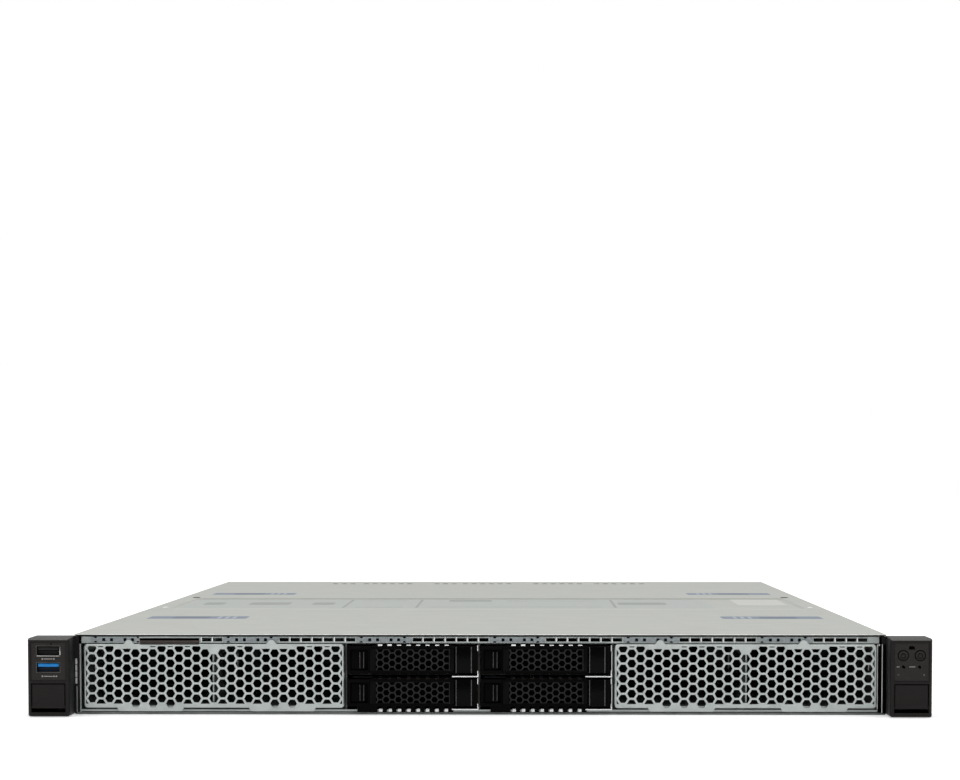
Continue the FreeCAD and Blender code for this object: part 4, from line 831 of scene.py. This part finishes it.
def highlight_bar(name, x, z):
    """A bar of painted highlight on the front rim of the upper shell, between (low, high) pairs in mm from
    its middle.
    """
    return add_box(name, upper_port + Vector((x[0], -0.04, z[0])) * MM,
                   upper_port + Vector((x[1], 0.1, z[1])) * MM)


# Painted highlight: bright bars at the right side and the foot of the upper shell's rim.
port_painted_highlight = join(highlight_bar("slow_port_painted_highlight", (6.2, 6.6), (-2.2, 2.0)),
                  highlight_bar("foot", (-6.0, 6.0), (-2.9, -2.55)))
finish_piece(round_edges(port_painted_highlight, 0.04, 2), nickel, "chassis", "port_shell")
print("front ports at heights in mm:", [round(in_mm(port)[2], 1) for port in (upper_port, lower_port)])

# %% [markdown]
# ## Buttons, lamps and marks on the ears
# The two round push buttons have a sunk ring round a raised middle, so that a finger finds them. One
# is modelled from a cylinder by insetting its front face and pushing the ring back. Beside them are a
# dark lamp window and two small lamps. The marks by the ports and lamps are plain bars and dots.

# %% Buttons and lamps
plate_low, plate_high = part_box("module_plates")
plate_y = in_mm(plate_low)[1]
right_middle = (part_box("power_button")[0].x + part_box("id_button")[1].x) / 2 / MM
left_middle = -right_middle


def ring(name, x, z, radius, width, front):
    """A thin ring: a disc with its middle carved away."""
    disc = rod(name, x, (front, front + 0.1), z, radius, 48)
    carve(disc, rod("bore", x, (front - 1.0, front + 1.1), z, radius - width, 48))
    return round_edges(disc, 0.03, 1)


cap_radius, buttons = 2.5, {"power_button": "power_key", "id_button": "id_key"}
rim_step, ring_step, middle_step = (0.35, 0.0), (0.75, 0.28), (0.2, -0.22)


def button_span(node):
    """The middle of a button's front and of its back, in mm."""
    low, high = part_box(node)
    middle = (low + high) / 2
    return [in_mm(Vector((middle.x, y, middle.z))) for y in (low.y, high.y)]


def push_button(node, body):
    """A button's cap with its sunk ring."""
    (x, front, z), (_, back, _) = button_span(node)
    cap = sink(rod(f"{body}_cap", x, (front, back), z, cap_radius, 48), rim_step, ring_step, middle_step)
    finish_piece(round_edges(cap, 0.12, 2, 30), button_plastic, body, "button_plastic", node)


def button_rings(node, body):
    """Painted shade: a black ring in the gap round a button, and a black ring in the sunk groove of its cap.
    """
    (x, front, z), _ = button_span(node)
    gap = ring(f"{node}_surround", x, z, cap_radius + 0.5, 0.45, plate_y - 0.06)
    finish_piece(gap, black_and_painted_shade, "chassis", "connector_plastic")
    groove = ring(f"{node}_groove", x, z, 1.3, 0.25, front - 0.02)
    finish_piece(groove, black_and_painted_shade, body, "button_plastic")


def lens(name, x, z, radius):
    """A domed lamp lens that stands a little proud of the ear's plate."""
    dome = bevel(rod(name, x, (plate_y - 0.12, plate_y + 1.08), z, radius, 24), front_faces, 0.3 * radius, 3,
                 edges=False)
    finish_piece(round_edges(dome, 0.02, 1, 60), black_and_painted_shade, "chassis", "connector_plastic")


for node, body in buttons.items():
    push_button(node, body)
lens("status_lamp_left", right_middle - 4.5, 27.3, 0.8)
lens("status_lamp_right", right_middle + 4.1, 27.3, 0.8)
lens("port_lamp", left_middle + 1.6, 39.2, 0.45)
window = block("lamp_window", (right_middle - 1.6, right_middle + 1.2), (plate_y - 0.08, plate_y + 1.2),
               (36.75, 38.55))
finish_piece(round_edges(window, 0.4, 3, 50), black_and_painted_shade, "chassis", "connector_plastic")
for node, body in buttons.items():
    button_rings(node, body)
print("buttons:", len(buttons), "of", 2 * cap_radius, "mm, with their middle at x =", round(right_middle, 2))

# %% Marks
def mark(name, x, z, width, height, dots=(), ink=mark_ink):
    """A printed mark, a film of ink: one plain bar, and dots at steps beside its middle."""
    film = span(plate_y, 0.04)
    bar = block(name, span(x, width / 2), film, span(z, height / 2))
    spots = [rod("dot", x + step, film, z, 0.45, 12) for step in dots]
    finish_piece(join(bar, *spots) if spots else bar, ink, "chassis", "module_face")


mark("slow_port_mark", left_middle, 31.2, 4.6, 0.42, (-3.1, 3.1))
mark("fast_port_mark", left_middle, 21.9, 4.6, 0.42, (-3.1, 3.1, 4.4))
mark("lamp_mark_1", right_middle - 7.2, 27.3, 1.5, 0.6, ink=lamp_ink)
mark("lamp_mark_2", right_middle + 0.3, 27.3, 3.2, 0.6, ink=lamp_ink)
mark("lamp_mark_3", right_middle - 7.0, 23.0, 1.0, 0.5, ink=faint_ink)
mark("lamp_mark_4", right_middle + 6.6, 23.0, 0.6, 1.0, ink=faint_ink)
print("lamps and marks made on a plate of", round((plate_high.z - plate_low.z) / MM, 1), "mm")

# %% [markdown]
# ## Strip label inside the left ear
# A narrow pale label with blank fields sits on the flange between the ear and the first bay.

# %% Strip label
label_foot, label_top, fields = 16.6, 30.5, 4
field = (label_top - label_foot) / fields
strip_label = join(*[block("strip_label", (-218.6, -217.6), (-1.12, -0.98), (low + 0.2, low + field - 0.15))
                     for low in [label_foot + k * field for k in range(fields)]])
finish_piece(round_edges(strip_label, 0.15, 2), pale_label, "chassis", "ear_plastic")
print("strip label with", fields, "blank fields of", round(field, 1), "mm")

# %% [markdown]
# ## Labels on the covers
# A polyester label is a film a tenth of a millimetre thick, with rounded corners. Four blue ones tell
# where to press. A grey sheet in the sunk field holds a wiring drawing, here only blank blocks and
# upright lines, and a white one stays bare. Each is a thin box whose upright edges are bevelled.

# %% Labels
cover_top = in_mm(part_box("rear_cover")[1])[2]
field_top = cover_top - 0.9
film_sunk, film_proud, print_proud, dot_proud = 0.08, 0.02, 0.035, 0.03


def film_sheet(name, x, y, base, material, corner=1.5, proud=film_proud):
    """A label with rounded corners, pressed on a height, between (low, high) pairs in mm."""
    return paint(bevel(block(name, x, y, (base - film_sunk, base + proud)), upright, corner, 4), material)


def press_label(name, x, y, body):
    """A blue label with a darker block in its middle and three pale bars at its inner side."""
    inward = -1 if x[0] > 0 else 1
    middle, tall = (x[0] + x[1]) / 2, (y[0] + 4.0, y[1] - 4.0)
    sheet = film_sheet(name, x, y, cover_top, blue_label, 2.0)
    patch = film_sheet("patch", span(middle - inward * 4.0, 11.0), tall, cover_top, blue_dark_label, 1.0,
                       print_proud)
    bars = [film_sheet("bar", span(middle + inward * step, 1.0), tall, cover_top, bar_label, 0.5, print_proud)
            for step in (13.0, 17.5, 22.0)]
    finish_piece(join(sheet, patch, *bars), None, body, "cover_steel")


for side, x in (("left", (-203.5, -143.5)), ("right", (143.5, 204.0))):
    press_label(f"{side}_front_press_label", x, (158.0, 186.0), "front_lid")
    press_label(f"{side}_rear_press_label", x, (488.0, 516.0), "rear_lid")


def drawing_sheet(name, blocks, bars, strokes):
    """The grey sheet: blank blocks and long faint bars, given as (x, y) pairs, and upright strokes."""
    sheet = film_sheet(name, (-204.0, 150.0), (306.0, 432.0), field_top, grey_label, 2.5)
    prints = [(x, y, 5.0) for x, y in blocks] + [(x, y, 1.0) for x, y in bars]
    prints += [((x, x + 1.8), (312.0, 424.0), 0.5) for x in strokes]
    shapes = [film_sheet("print", x, y, field_top, grey_dark_label, corner, print_proud)
              for x, y, corner in prints]
    finish_piece(join(sheet, *shapes), None, "rear_lid", "cover_steel")


block_row = (352.0, 386.0)
drawing_sheet("drawing_label",
              [((-194.0, -180.0), block_row), ((-163.0, -135.0), block_row), ((-120.0, -105.0), block_row),
               ((88.0, 121.0), block_row), ((-28.0, 2.0), (398.0, 424.0))],
              [((-88.0, -56.0), (318.0, 321.0)), ((-88.0, -56.0), (408.0, 411.0)),
               ((-40.0, 76.0), (322.0, 325.0)), ((12.0, 76.0), (408.0, 411.0))],
              (-96.5, -48.0, 84.0))
bare_label = film_sheet("bare_label", (169.0, 202.0), (350.0, 432.0), field_top, white_label)
finish_piece(bare_label, None, "rear_lid", "cover_steel")
print("labels pressed on at heights of", round(cover_top, 2), "and", round(field_top, 2), "mm")

# %% Edge and corners of the sunk field
# Painted highlight: bright dots at the front corners of the sunk field and a bright line at its front edge.
# Painted shade: dark dots at its rear corners.
field_edge = in_mm(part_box("rear_cover")[0])[1] + 3.2
for side, label in ((-1, "left"), (1, "right")):
    for name, middle, half, y, finish in (("field_bright", 211.5, 1.5, (297.0, 305.0), painted_highlight_sheet),
                                          ("field_painted_shade", 209.0, 2.5, (438.0, 448.0), black_and_painted_shade)):
        dot = film_sheet(f"{name}_{label}", span(side * middle, half), y, cover_top, finish, 1.2, dot_proud)
        finish_piece(dot, None, "rear_lid", "cover_steel")
field_edge_painted_highlight = block("field_edge", (-206.5, 206.5), (field_edge, field_edge + 1.3),
                  (cover_top - film_sunk, cover_top + film_proud))
finish_piece(round_edges(field_edge_painted_highlight, 0.03, 1), painted_highlight_sheet, "rear_lid", "cover_steel")
print("labels lie on a cover", round(cover_top, 1), "mm high")

# %% [markdown]
# ## The front edge of the cover and the vent strip
# The cover's front edge is rolled over, and a bar of painted highlight runs along it across the whole
# server as one bright line. A black bar of painted shade fills the joint under it. The vent strip below
# has a rolled rim round each slot, with a painted highlight at its sides, and at each bay a dull
# tin-plated patch that the spring fingers rub on.

# %% Rolled edge, painted highlight and painted shade
def long_bar(name, x, y, z, material, slot, rounding=0.1, body="chassis"):
    """A straight bar between (low, high) pairs in mm, with its long edges rounded."""
    return finish_piece(round_edges(block(name, x, y, z), rounding, 2), material, body, slot)


# Painted highlight: a bright bar along the cover's front edge. Painted shade: black bars in the joints above
# and below the bays.
long_bar("cover_edge_painted_highlight", (-218.6, 218.6), (-0.15, 0.6), (43.15, 43.52), painted_highlight_sheet, "cover_steel", 0.15,
         "front_lid")
long_bar("cover_gasket", (-218.2, 218.2), (-0.12, 0.3), (42.55, 43.1), black_and_painted_shade, "ear_plastic", 0.08,
         "front_lid")
long_bar("sill_gasket", (-215.6, 215.6), (0.3, 0.9), (1.22, 1.72), black_and_painted_shade, "ear_plastic", 0.08)
# Painted shade: the hem's dark grey along the pan's front edge.
long_bar("pan_hem", (-218.6, 218.6), (-0.08, 0.3), (0.06, 1.12), hem_sheet_painted_shade, "galvanised_sheet", 0.15)
print("front edge of the cover rolled, with a painted_shade_bar above and below the bays")

# %% Strip with full slots, and their rims
bay_count, bay_pitch = 6, 72.0
slots_per_bay, slot_pitch, cad_slot_width = 7, 6.0, 4.8
first_slot = -bay_count / 2 * bay_pitch + 36.4
tag_left, tag_right, strip_end = -183.8, -151.4, 215.0
open_width, open_height, open_middle, open_shift = 5.0, 2.1, 40.72, -0.3


def slot_places():
    """The middle of each slot that is cut in the strip, apart from where the tag or the wall is."""
    for bay in range(bay_count):
        for k in range(slots_per_bay):
            x = first_slot + bay * bay_pitch + k * slot_pitch
            by_the_tag = tag_left - cad_slot_width - 1 < x < tag_right + 1
            if not by_the_tag and x + cad_slot_width <= strip_end:
                yield x + cad_slot_width / 2 + open_shift


def opening(x):
    return block("opening", span(x, open_width / 2), (-1, 1.3), span(open_middle, open_height / 2))


places = list(slot_places())
full_strip = copy_piece(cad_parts["bay_frame"], "bay_frame_strip")
carve(full_strip, join(*[opening(x) for x in places]))
finish_piece(full_strip, strip_sheet, "chassis", "bay_frame_steel", "bay_frame")


def copy_row(piece, steps):
    """A piece with copies of itself beside it, at steps in mm to the right, as one object."""
    return join(piece, *[copy_piece(piece, "copy", Vector((step * MM, 0, 0))) for step in steps])


def slot_rim(x):
    """A rolled rim round one slot, in the strip's finish above and below it, with a painted highlight at its
    sides.
    """
    wide, tall = open_width / 2 + 0.46, open_height / 2 + 0.38
    rim = block("slot_rims", span(x, wide), (-0.22, 0.02), span(open_middle, tall))
    paint(rim, strip_sheet, painted_highlight_sheet)
    bevel(rim, lambda middle, way: abs(way.y) > 0.9, 0.35, 2)
    carve(rim, opening(x))
    # The side faces of each rim get the painted highlight.
    for face in rim.data.polygons:
        if abs(face.center.x / MM - x) > open_width / 2 - 0.1:
            face.material_index = 1
    return round_edges(rim, 0.1, 2)


rims = copy_row(slot_rim(places[0]), [x - places[0] for x in places[1:]])
finish_piece(rims, None, "chassis", "bay_frame_steel")
print("slots with a rolled rim:", len(places))

# %% Contact patches
patch_foot, patch_top, hole_middle = 39.05, 42.15, 40.45
patch_holes, patch_notches = (-7.9, -3.7, 3.6, 7.7), (-12.4, 10.8)
first_patch_x = (0.5 - bay_count / 2) * bay_pitch - 15.25


def patch_face(x):
    """The dull face of a contact patch, with four square holes and a notch at each quarter point."""
    face = block("patch_faces", span(x, 15.1), (-0.34, -0.2), (patch_foot, patch_top))
    cutters = [block("hole", span(x + step, 0.8), (-1, 1), (hole_middle - 0.7, hole_middle + 0.9))
               for step in patch_holes]
    cutters += [rod("notch", x + step, (-1, 1), z, 0.85, 12) for step in patch_notches
                for z in (patch_foot, patch_top)]
    return carve(face, join(*cutters))


def hole_shade(x):
    """Painted shade: black sheets behind the holes and notches of a patch, on the strip's face."""
    thin = (-0.31, -0.29)
    shades = [block("hole_shades", span(x + step, 1.1), thin, (hole_middle - 1.0, hole_middle + 1.2))
              for step in patch_holes]
    shades += [block("shade", span(x + step, 1.0), thin, (z, z + 1.0)) for step in patch_notches
               for z in (39.0, 41.2)]
    return round_edges(join(*shades), 0.005, 1)


def along_bays(first):
    """A piece with a copy in each other bay. The first is cut back where the tag is."""
    steps = [Vector((k * bay_pitch * MM, 0, 0)) for k in range(1, bay_count)]
    row = [first] + [copy_piece(first, "copy", step) for step in steps]
    carve(first, block("tag_side", (tag_left - 0.3, tag_right + 0.3), (-2, 2), (30, 50)))
    return row


patches = [round_edges(patch, 0.04, 1) for patch in along_bays(patch_face(first_patch_x))]
finish_piece(join(*patches), patch_sheet, "chassis", "bay_frame_steel")
# The black sheets behind the patches' holes are painted shade.
finish_piece(join(*along_bays(hole_shade(first_patch_x))), black_and_painted_shade, "chassis", "bay_frame_steel")
print("contact patches:", bay_count)

# %% [markdown]
# ## The seams beside the ears
# Between an ear and the bays there is only a narrow dark seam. Its dark is painted shade, black bars set
# in the seam, and the bright line of the side wall's edge in it is a painted highlight, a bright bar.
# Black skirts belong to the ear's moulding and cover the rest. The captive screw that holds the server
# to the rack sits deep in the lower pocket, behind the flap.

# %% Skirts and wall edges
def mirror_piece(piece, name):
    """A copy on the other side of the server, with its normals turned back outwards."""
    twin = copy_piece(piece, name)
    bpy.ops.transform.resize(value=(-1, 1, 1), center_override=(0, 0, 0))
    settle(name)
    bpy.ops.object.mode_set(mode="EDIT")
    bpy.ops.mesh.select_all(action="SELECT")
    bpy.ops.mesh.normals_make_consistent(inside=False)
    leave_edit()
    return twin


def beside_ear(name, x, y, z, material, rounding=0.1):
    """A bar beside the left ear and its mirror image beside the right ear."""
    left = long_bar(f"{name}_left", x, y, z, material, "ear_plastic", rounding)
    finish_piece(mirror_piece(left, f"{name}_right"), material, "chassis", "ear_plastic")


beside_ear("ear_skirt", (-219.0, -218.15), (-1.0, -0.05), (0.6, 15.6), ear_plastic)
# Painted shade: a black bar over the strip's end beside each ear.
beside_ear("strip_end", (-218.9, -215.3), (-0.6, -0.05), (38.4, 42.45), black_and_painted_shade, 0.2)
# Painted shade: a black bar over the seam beside the right ear.
long_bar("seam_cover_right", (214.75, 216.6), (-0.9, -0.05), (1.3, 38.3), black_and_painted_shade, "ear_plastic")
# Painted highlight: bright bars for the spring and the side wall's edge in the right seam.
for name, x, y, z, rounding in (("seam_spring_right", (214.4, 214.65), (-0.9, 3.0), (3.2, 38.2), 0.1),
                                ("seam_spring_tip", (214.9, 215.7), (-1.25, -0.9), (37.5, 38.3), 0.2),
                                ("wall_edge_right", (216.75, 217.15), (-1.25, -0.9), (1.4, 38.4), 0.12)):
    long_bar(name, x, y, z, painted_highlight_sheet, "galvanised_sheet", rounding)
# Painted shade: a black bar over the side wall beside the right ear.
long_bar("wall_cover_right", (217.3, 218.9), (-1.1, -0.05), (1.0, 38.3), black_and_painted_shade, "ear_plastic")
beside_ear("ear_liner", (-219.15, -219.02), (-16.6, -0.4), (1.4, 41.4), socket_plastic, 0.03)
print("seams beside the ears closed")

# %% Ears and captive screws
slope_drop, slope_run = 1.35, 2.0


def sloped_ear(node, name):
    """The ear's moulding with a sloped top edge at the front, carved by a wedge."""
    low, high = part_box(node)
    ear = copy_piece(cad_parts[node], name)
    wedge_low = Vector((low.x - MM, low.y - 0.5 * MM, high.z - slope_drop * MM))
    wedge_high = Vector((high.x + MM, low.y + slope_run * MM, high.z + MM))
    wedge = add_box("wedge", wedge_low, wedge_high)
    pick(wedge, lambda middle, way: abs(way.x) > 0.9 and middle.y > wedge_high.y - TINY
         and middle.z < wedge_low.z + TINY, edges=True)
    bpy.ops.transform.translate(value=(0, 0, slope_drop * MM))
    leave_edit()
    # The faces of the slope, which face up and forward, get the painted highlight.
    paint(carve(ear, wedge), ear_plastic, edge_painted_highlight)
    for face in ear.data.polygons:
        face.material_index = 1 if face.normal.z > 0.6 and face.normal.y < -0.3 else 0
    finish_piece(ear, None, "chassis", "ear_plastic", node)


def rack_screw(name, x, z=5.9, radius=4.2, dome=1.2, slot_half=(2.4, 0.4)):
    """A captive screw: a domed head with a cross recess."""
    head = bevel(rod(name, x, (2.2, 5.2), z, radius), front_faces, dome, 3, edges=False)
    long, thin = slot_half
    carve(head, block("slot", span(x, long), (1.0, 3.6), span(z, thin)),
          block("slot", span(x, thin), (1.0, 3.6), span(z, long)))
    finish_piece(round_edges(head, 0.1, 2), bracket_coat, "chassis", "bracket_steel")


hole_spacing = 465.1
for side in ("left", "right"):
    sloped_ear(f"{side}_ear_housing", f"{side}_ear_moulding")
for side, x in (("left", -hole_spacing / 2), ("right", hole_spacing / 2)):
    rack_screw(f"rack_screw_{side}", x)
print("rack screws", hole_spacing, "mm apart")

# %% [markdown]
# ## The service tag
# The tag is a thin card with a front lip to pull it by. The lip has a finger groove along its length,
# and above it the mouth of its slot is a black block of painted shade.

# %% Lip of the tag
tag_low, tag_high = [in_mm(corner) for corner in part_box("service_tag")]
lip = block("tag_lip", (tag_left + 0.3, tag_right - 0.3), (-1.25, 0.5), (38.5, 40.1))
sink(lip, (0.35, 0), (0.15, 0.4))
card = block("card", (tag_low[0] + 0.7, tag_high[0] - 0.7), (0.4, tag_high[1]), (39.2, 40.2))
finish_piece(join(round_edges(lip, 0.12, 2), round_edges(card, 0.2, 2)), tag_plastic, "tag", "tag_plastic",
             "service_tag")
# Painted shade: a black block in the mouth of the tag's slot.
mouth = block("tag_mouth", (tag_left + 0.4, tag_right - 0.4), (1.3, 2.0), (40.3, 41.6))
finish_piece(sink(mouth, (0.25, 0.3)), black_and_painted_shade, "chassis", "ear_plastic")
print("tag pulls out by its lip of", round(tag_right - tag_left - 0.6, 1), "mm")

# %% [markdown]
# ## The back: supplies and connectors
# A supply breathes through a fan, and its round mouth is closed by a guard of wire rings. A torus makes
# a ring, and four of them make the guard. The mains inlet is a black insert with three blades, and a
# sleeve on the loop handle gives the hand something soft. The connectors in the middle get what tells
# them apart: gold contacts and two lamps in a network jack, a blue tongue or a blue insert.

# %% Power supplies
supply_left, supply_right = [in_mm(corner)[0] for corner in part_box("left_psu")]
back_y = 730.0
fan_x, fan_z, ring_radii = supply_right - 21.0, 21.0, (4.5, 8.6, 12.7, 16.6)
inlet_x, inlet_z = supply_left + 19.5, 14.75
blade_steps = ((-6.5, -1.5), (0.0, 1.8), (6.5, -1.5))


def guard_ring(radius):
    bpy.ops.object.select_all(action="DESELECT")
    bpy.ops.mesh.primitive_torus_add(major_radius=radius * MM, minor_radius=0.6 * MM, major_segments=40,
                                     minor_segments=8, location=at(fan_x, back_y - 0.9, fan_z),
                                     rotation=(math.radians(90), 0, 0))
    made = settle("left_fan_guard")
    bpy.ops.object.shade_smooth()
    return made


guard = join(*[guard_ring(radius) for radius in ring_radii])
insert = block("left_inlet", span(inlet_x, 11.6), (back_y - 12.9, back_y - 0.3), span(inlet_z, 7.9))
round_edges(sink(insert, (1.7, -9.5), test=lambda middle, normal: normal.y > 0.9), 0.3)
blades = join(*[block("left_blades", span(inlet_x + dx, 1.0), (back_y - 11.0, back_y - 3.5),
                      span(inlet_z + dz, 2.0)) for dx, dz in blade_steps])
lamp = rod("left_supply_lamp", supply_left + 8.0, (back_y - 1.0, back_y + 0.4), 35.0, 1.4, 20)
sleeve = block("left_handle_sleeve", span(supply_right - 42.0, 3.6), (back_y + 19.9, back_y + 24.0),
               (13.5, 28.5))
for piece, finish in ((guard, nickel), (insert, socket_plastic), (round_edges(blades, 0.3), nickel),
                      (round_edges(lamp, 0.2, 2, 30), lamp_green),
                      (round_edges(sleeve, 1.2, 3), socket_plastic)):
    finish_piece(piece, finish, "left_supply", "supply_case")
    twin = mirror_piece(piece, piece.name.replace("left", "right"))
    finish_piece(twin, finish, "right_supply", "supply_case")
print("fan guard rings reach", ring_radii[-1], "mm in a mouth of 17")

# %% Connectors
board_top = 8.0
jack_places, port_places, display_x, display_z = (52.0, 72.0, 92.0), (6.0, 26.0), -20.0, board_top + 6.2
contact_count, contact_pitch, contact_width = 8, 1.02, 0.5
pin_rows, pins_per_row, pin_pitch, row_pitch = 3, 5, 2.3, 2.0
for n, x in enumerate(jack_places, 1):
    first = x - 3.7
    contacts = block(f"jack_{n}_contacts", (first, first + contact_width), (back_y - 10.0, back_y - 2.0),
                     (board_top + 7.6, board_top + 8.2))
    copy_row(contacts, [k * contact_pitch for k in range(1, contact_count)])
    finish_piece(round_edges(contacts, 0.1, 1), gold, "chassis", "port_shell")
    lining = block(f"jack_{n}_lining", span(x, 5.8), (back_y - 13.4, back_y - 10.2),
                   (board_top + 2.7, board_top + 9.5))
    finish_piece(round_edges(lining, 0.4), socket_plastic, "chassis", "connector_plastic")
    for side, middle, finish in (("left", x - 5.6, lamp_green), ("right", x + 5.6, lamp_amber)):
        lamp = block(f"jack_{n}_lamp_{side}", span(middle, 1.3), (back_y - 0.5, back_y + 0.46),
                     span(board_top + 11.6, 1.0))
        finish_piece(round_edges(lamp, 0.25), finish, "chassis", "connector_plastic")
for n, x in enumerate(port_places, 1):
    tongue = block(f"rear_port_{n}_tongue", span(x, 5.6), (back_y - 12.0, back_y - 0.4),
                   (board_top + 3.35, board_top + 5.15))
    finish_piece(round_edges(tongue, 0.2), port_blue, "chassis", "connector_plastic")
display = block("display_insert", span(display_x, 7.6), (back_y - 1.0, back_y + 5.1), span(display_z, 3.4))
holes = [rod("pin_hole", display_x + (k - 2) * pin_pitch + 0.6 * (row % 2), (back_y + 3.0, back_y + 6.0),
             display_z + (row - 1) * row_pitch, 0.5, 10)
         for row in range(pin_rows) for k in range(pins_per_row)]
finish_piece(carve(display, join(*holes)), port_blue, "chassis", "connector_plastic")
print("connectors fitted:", len(jack_places), "jacks,", len(port_places), "ports, 1 display port")
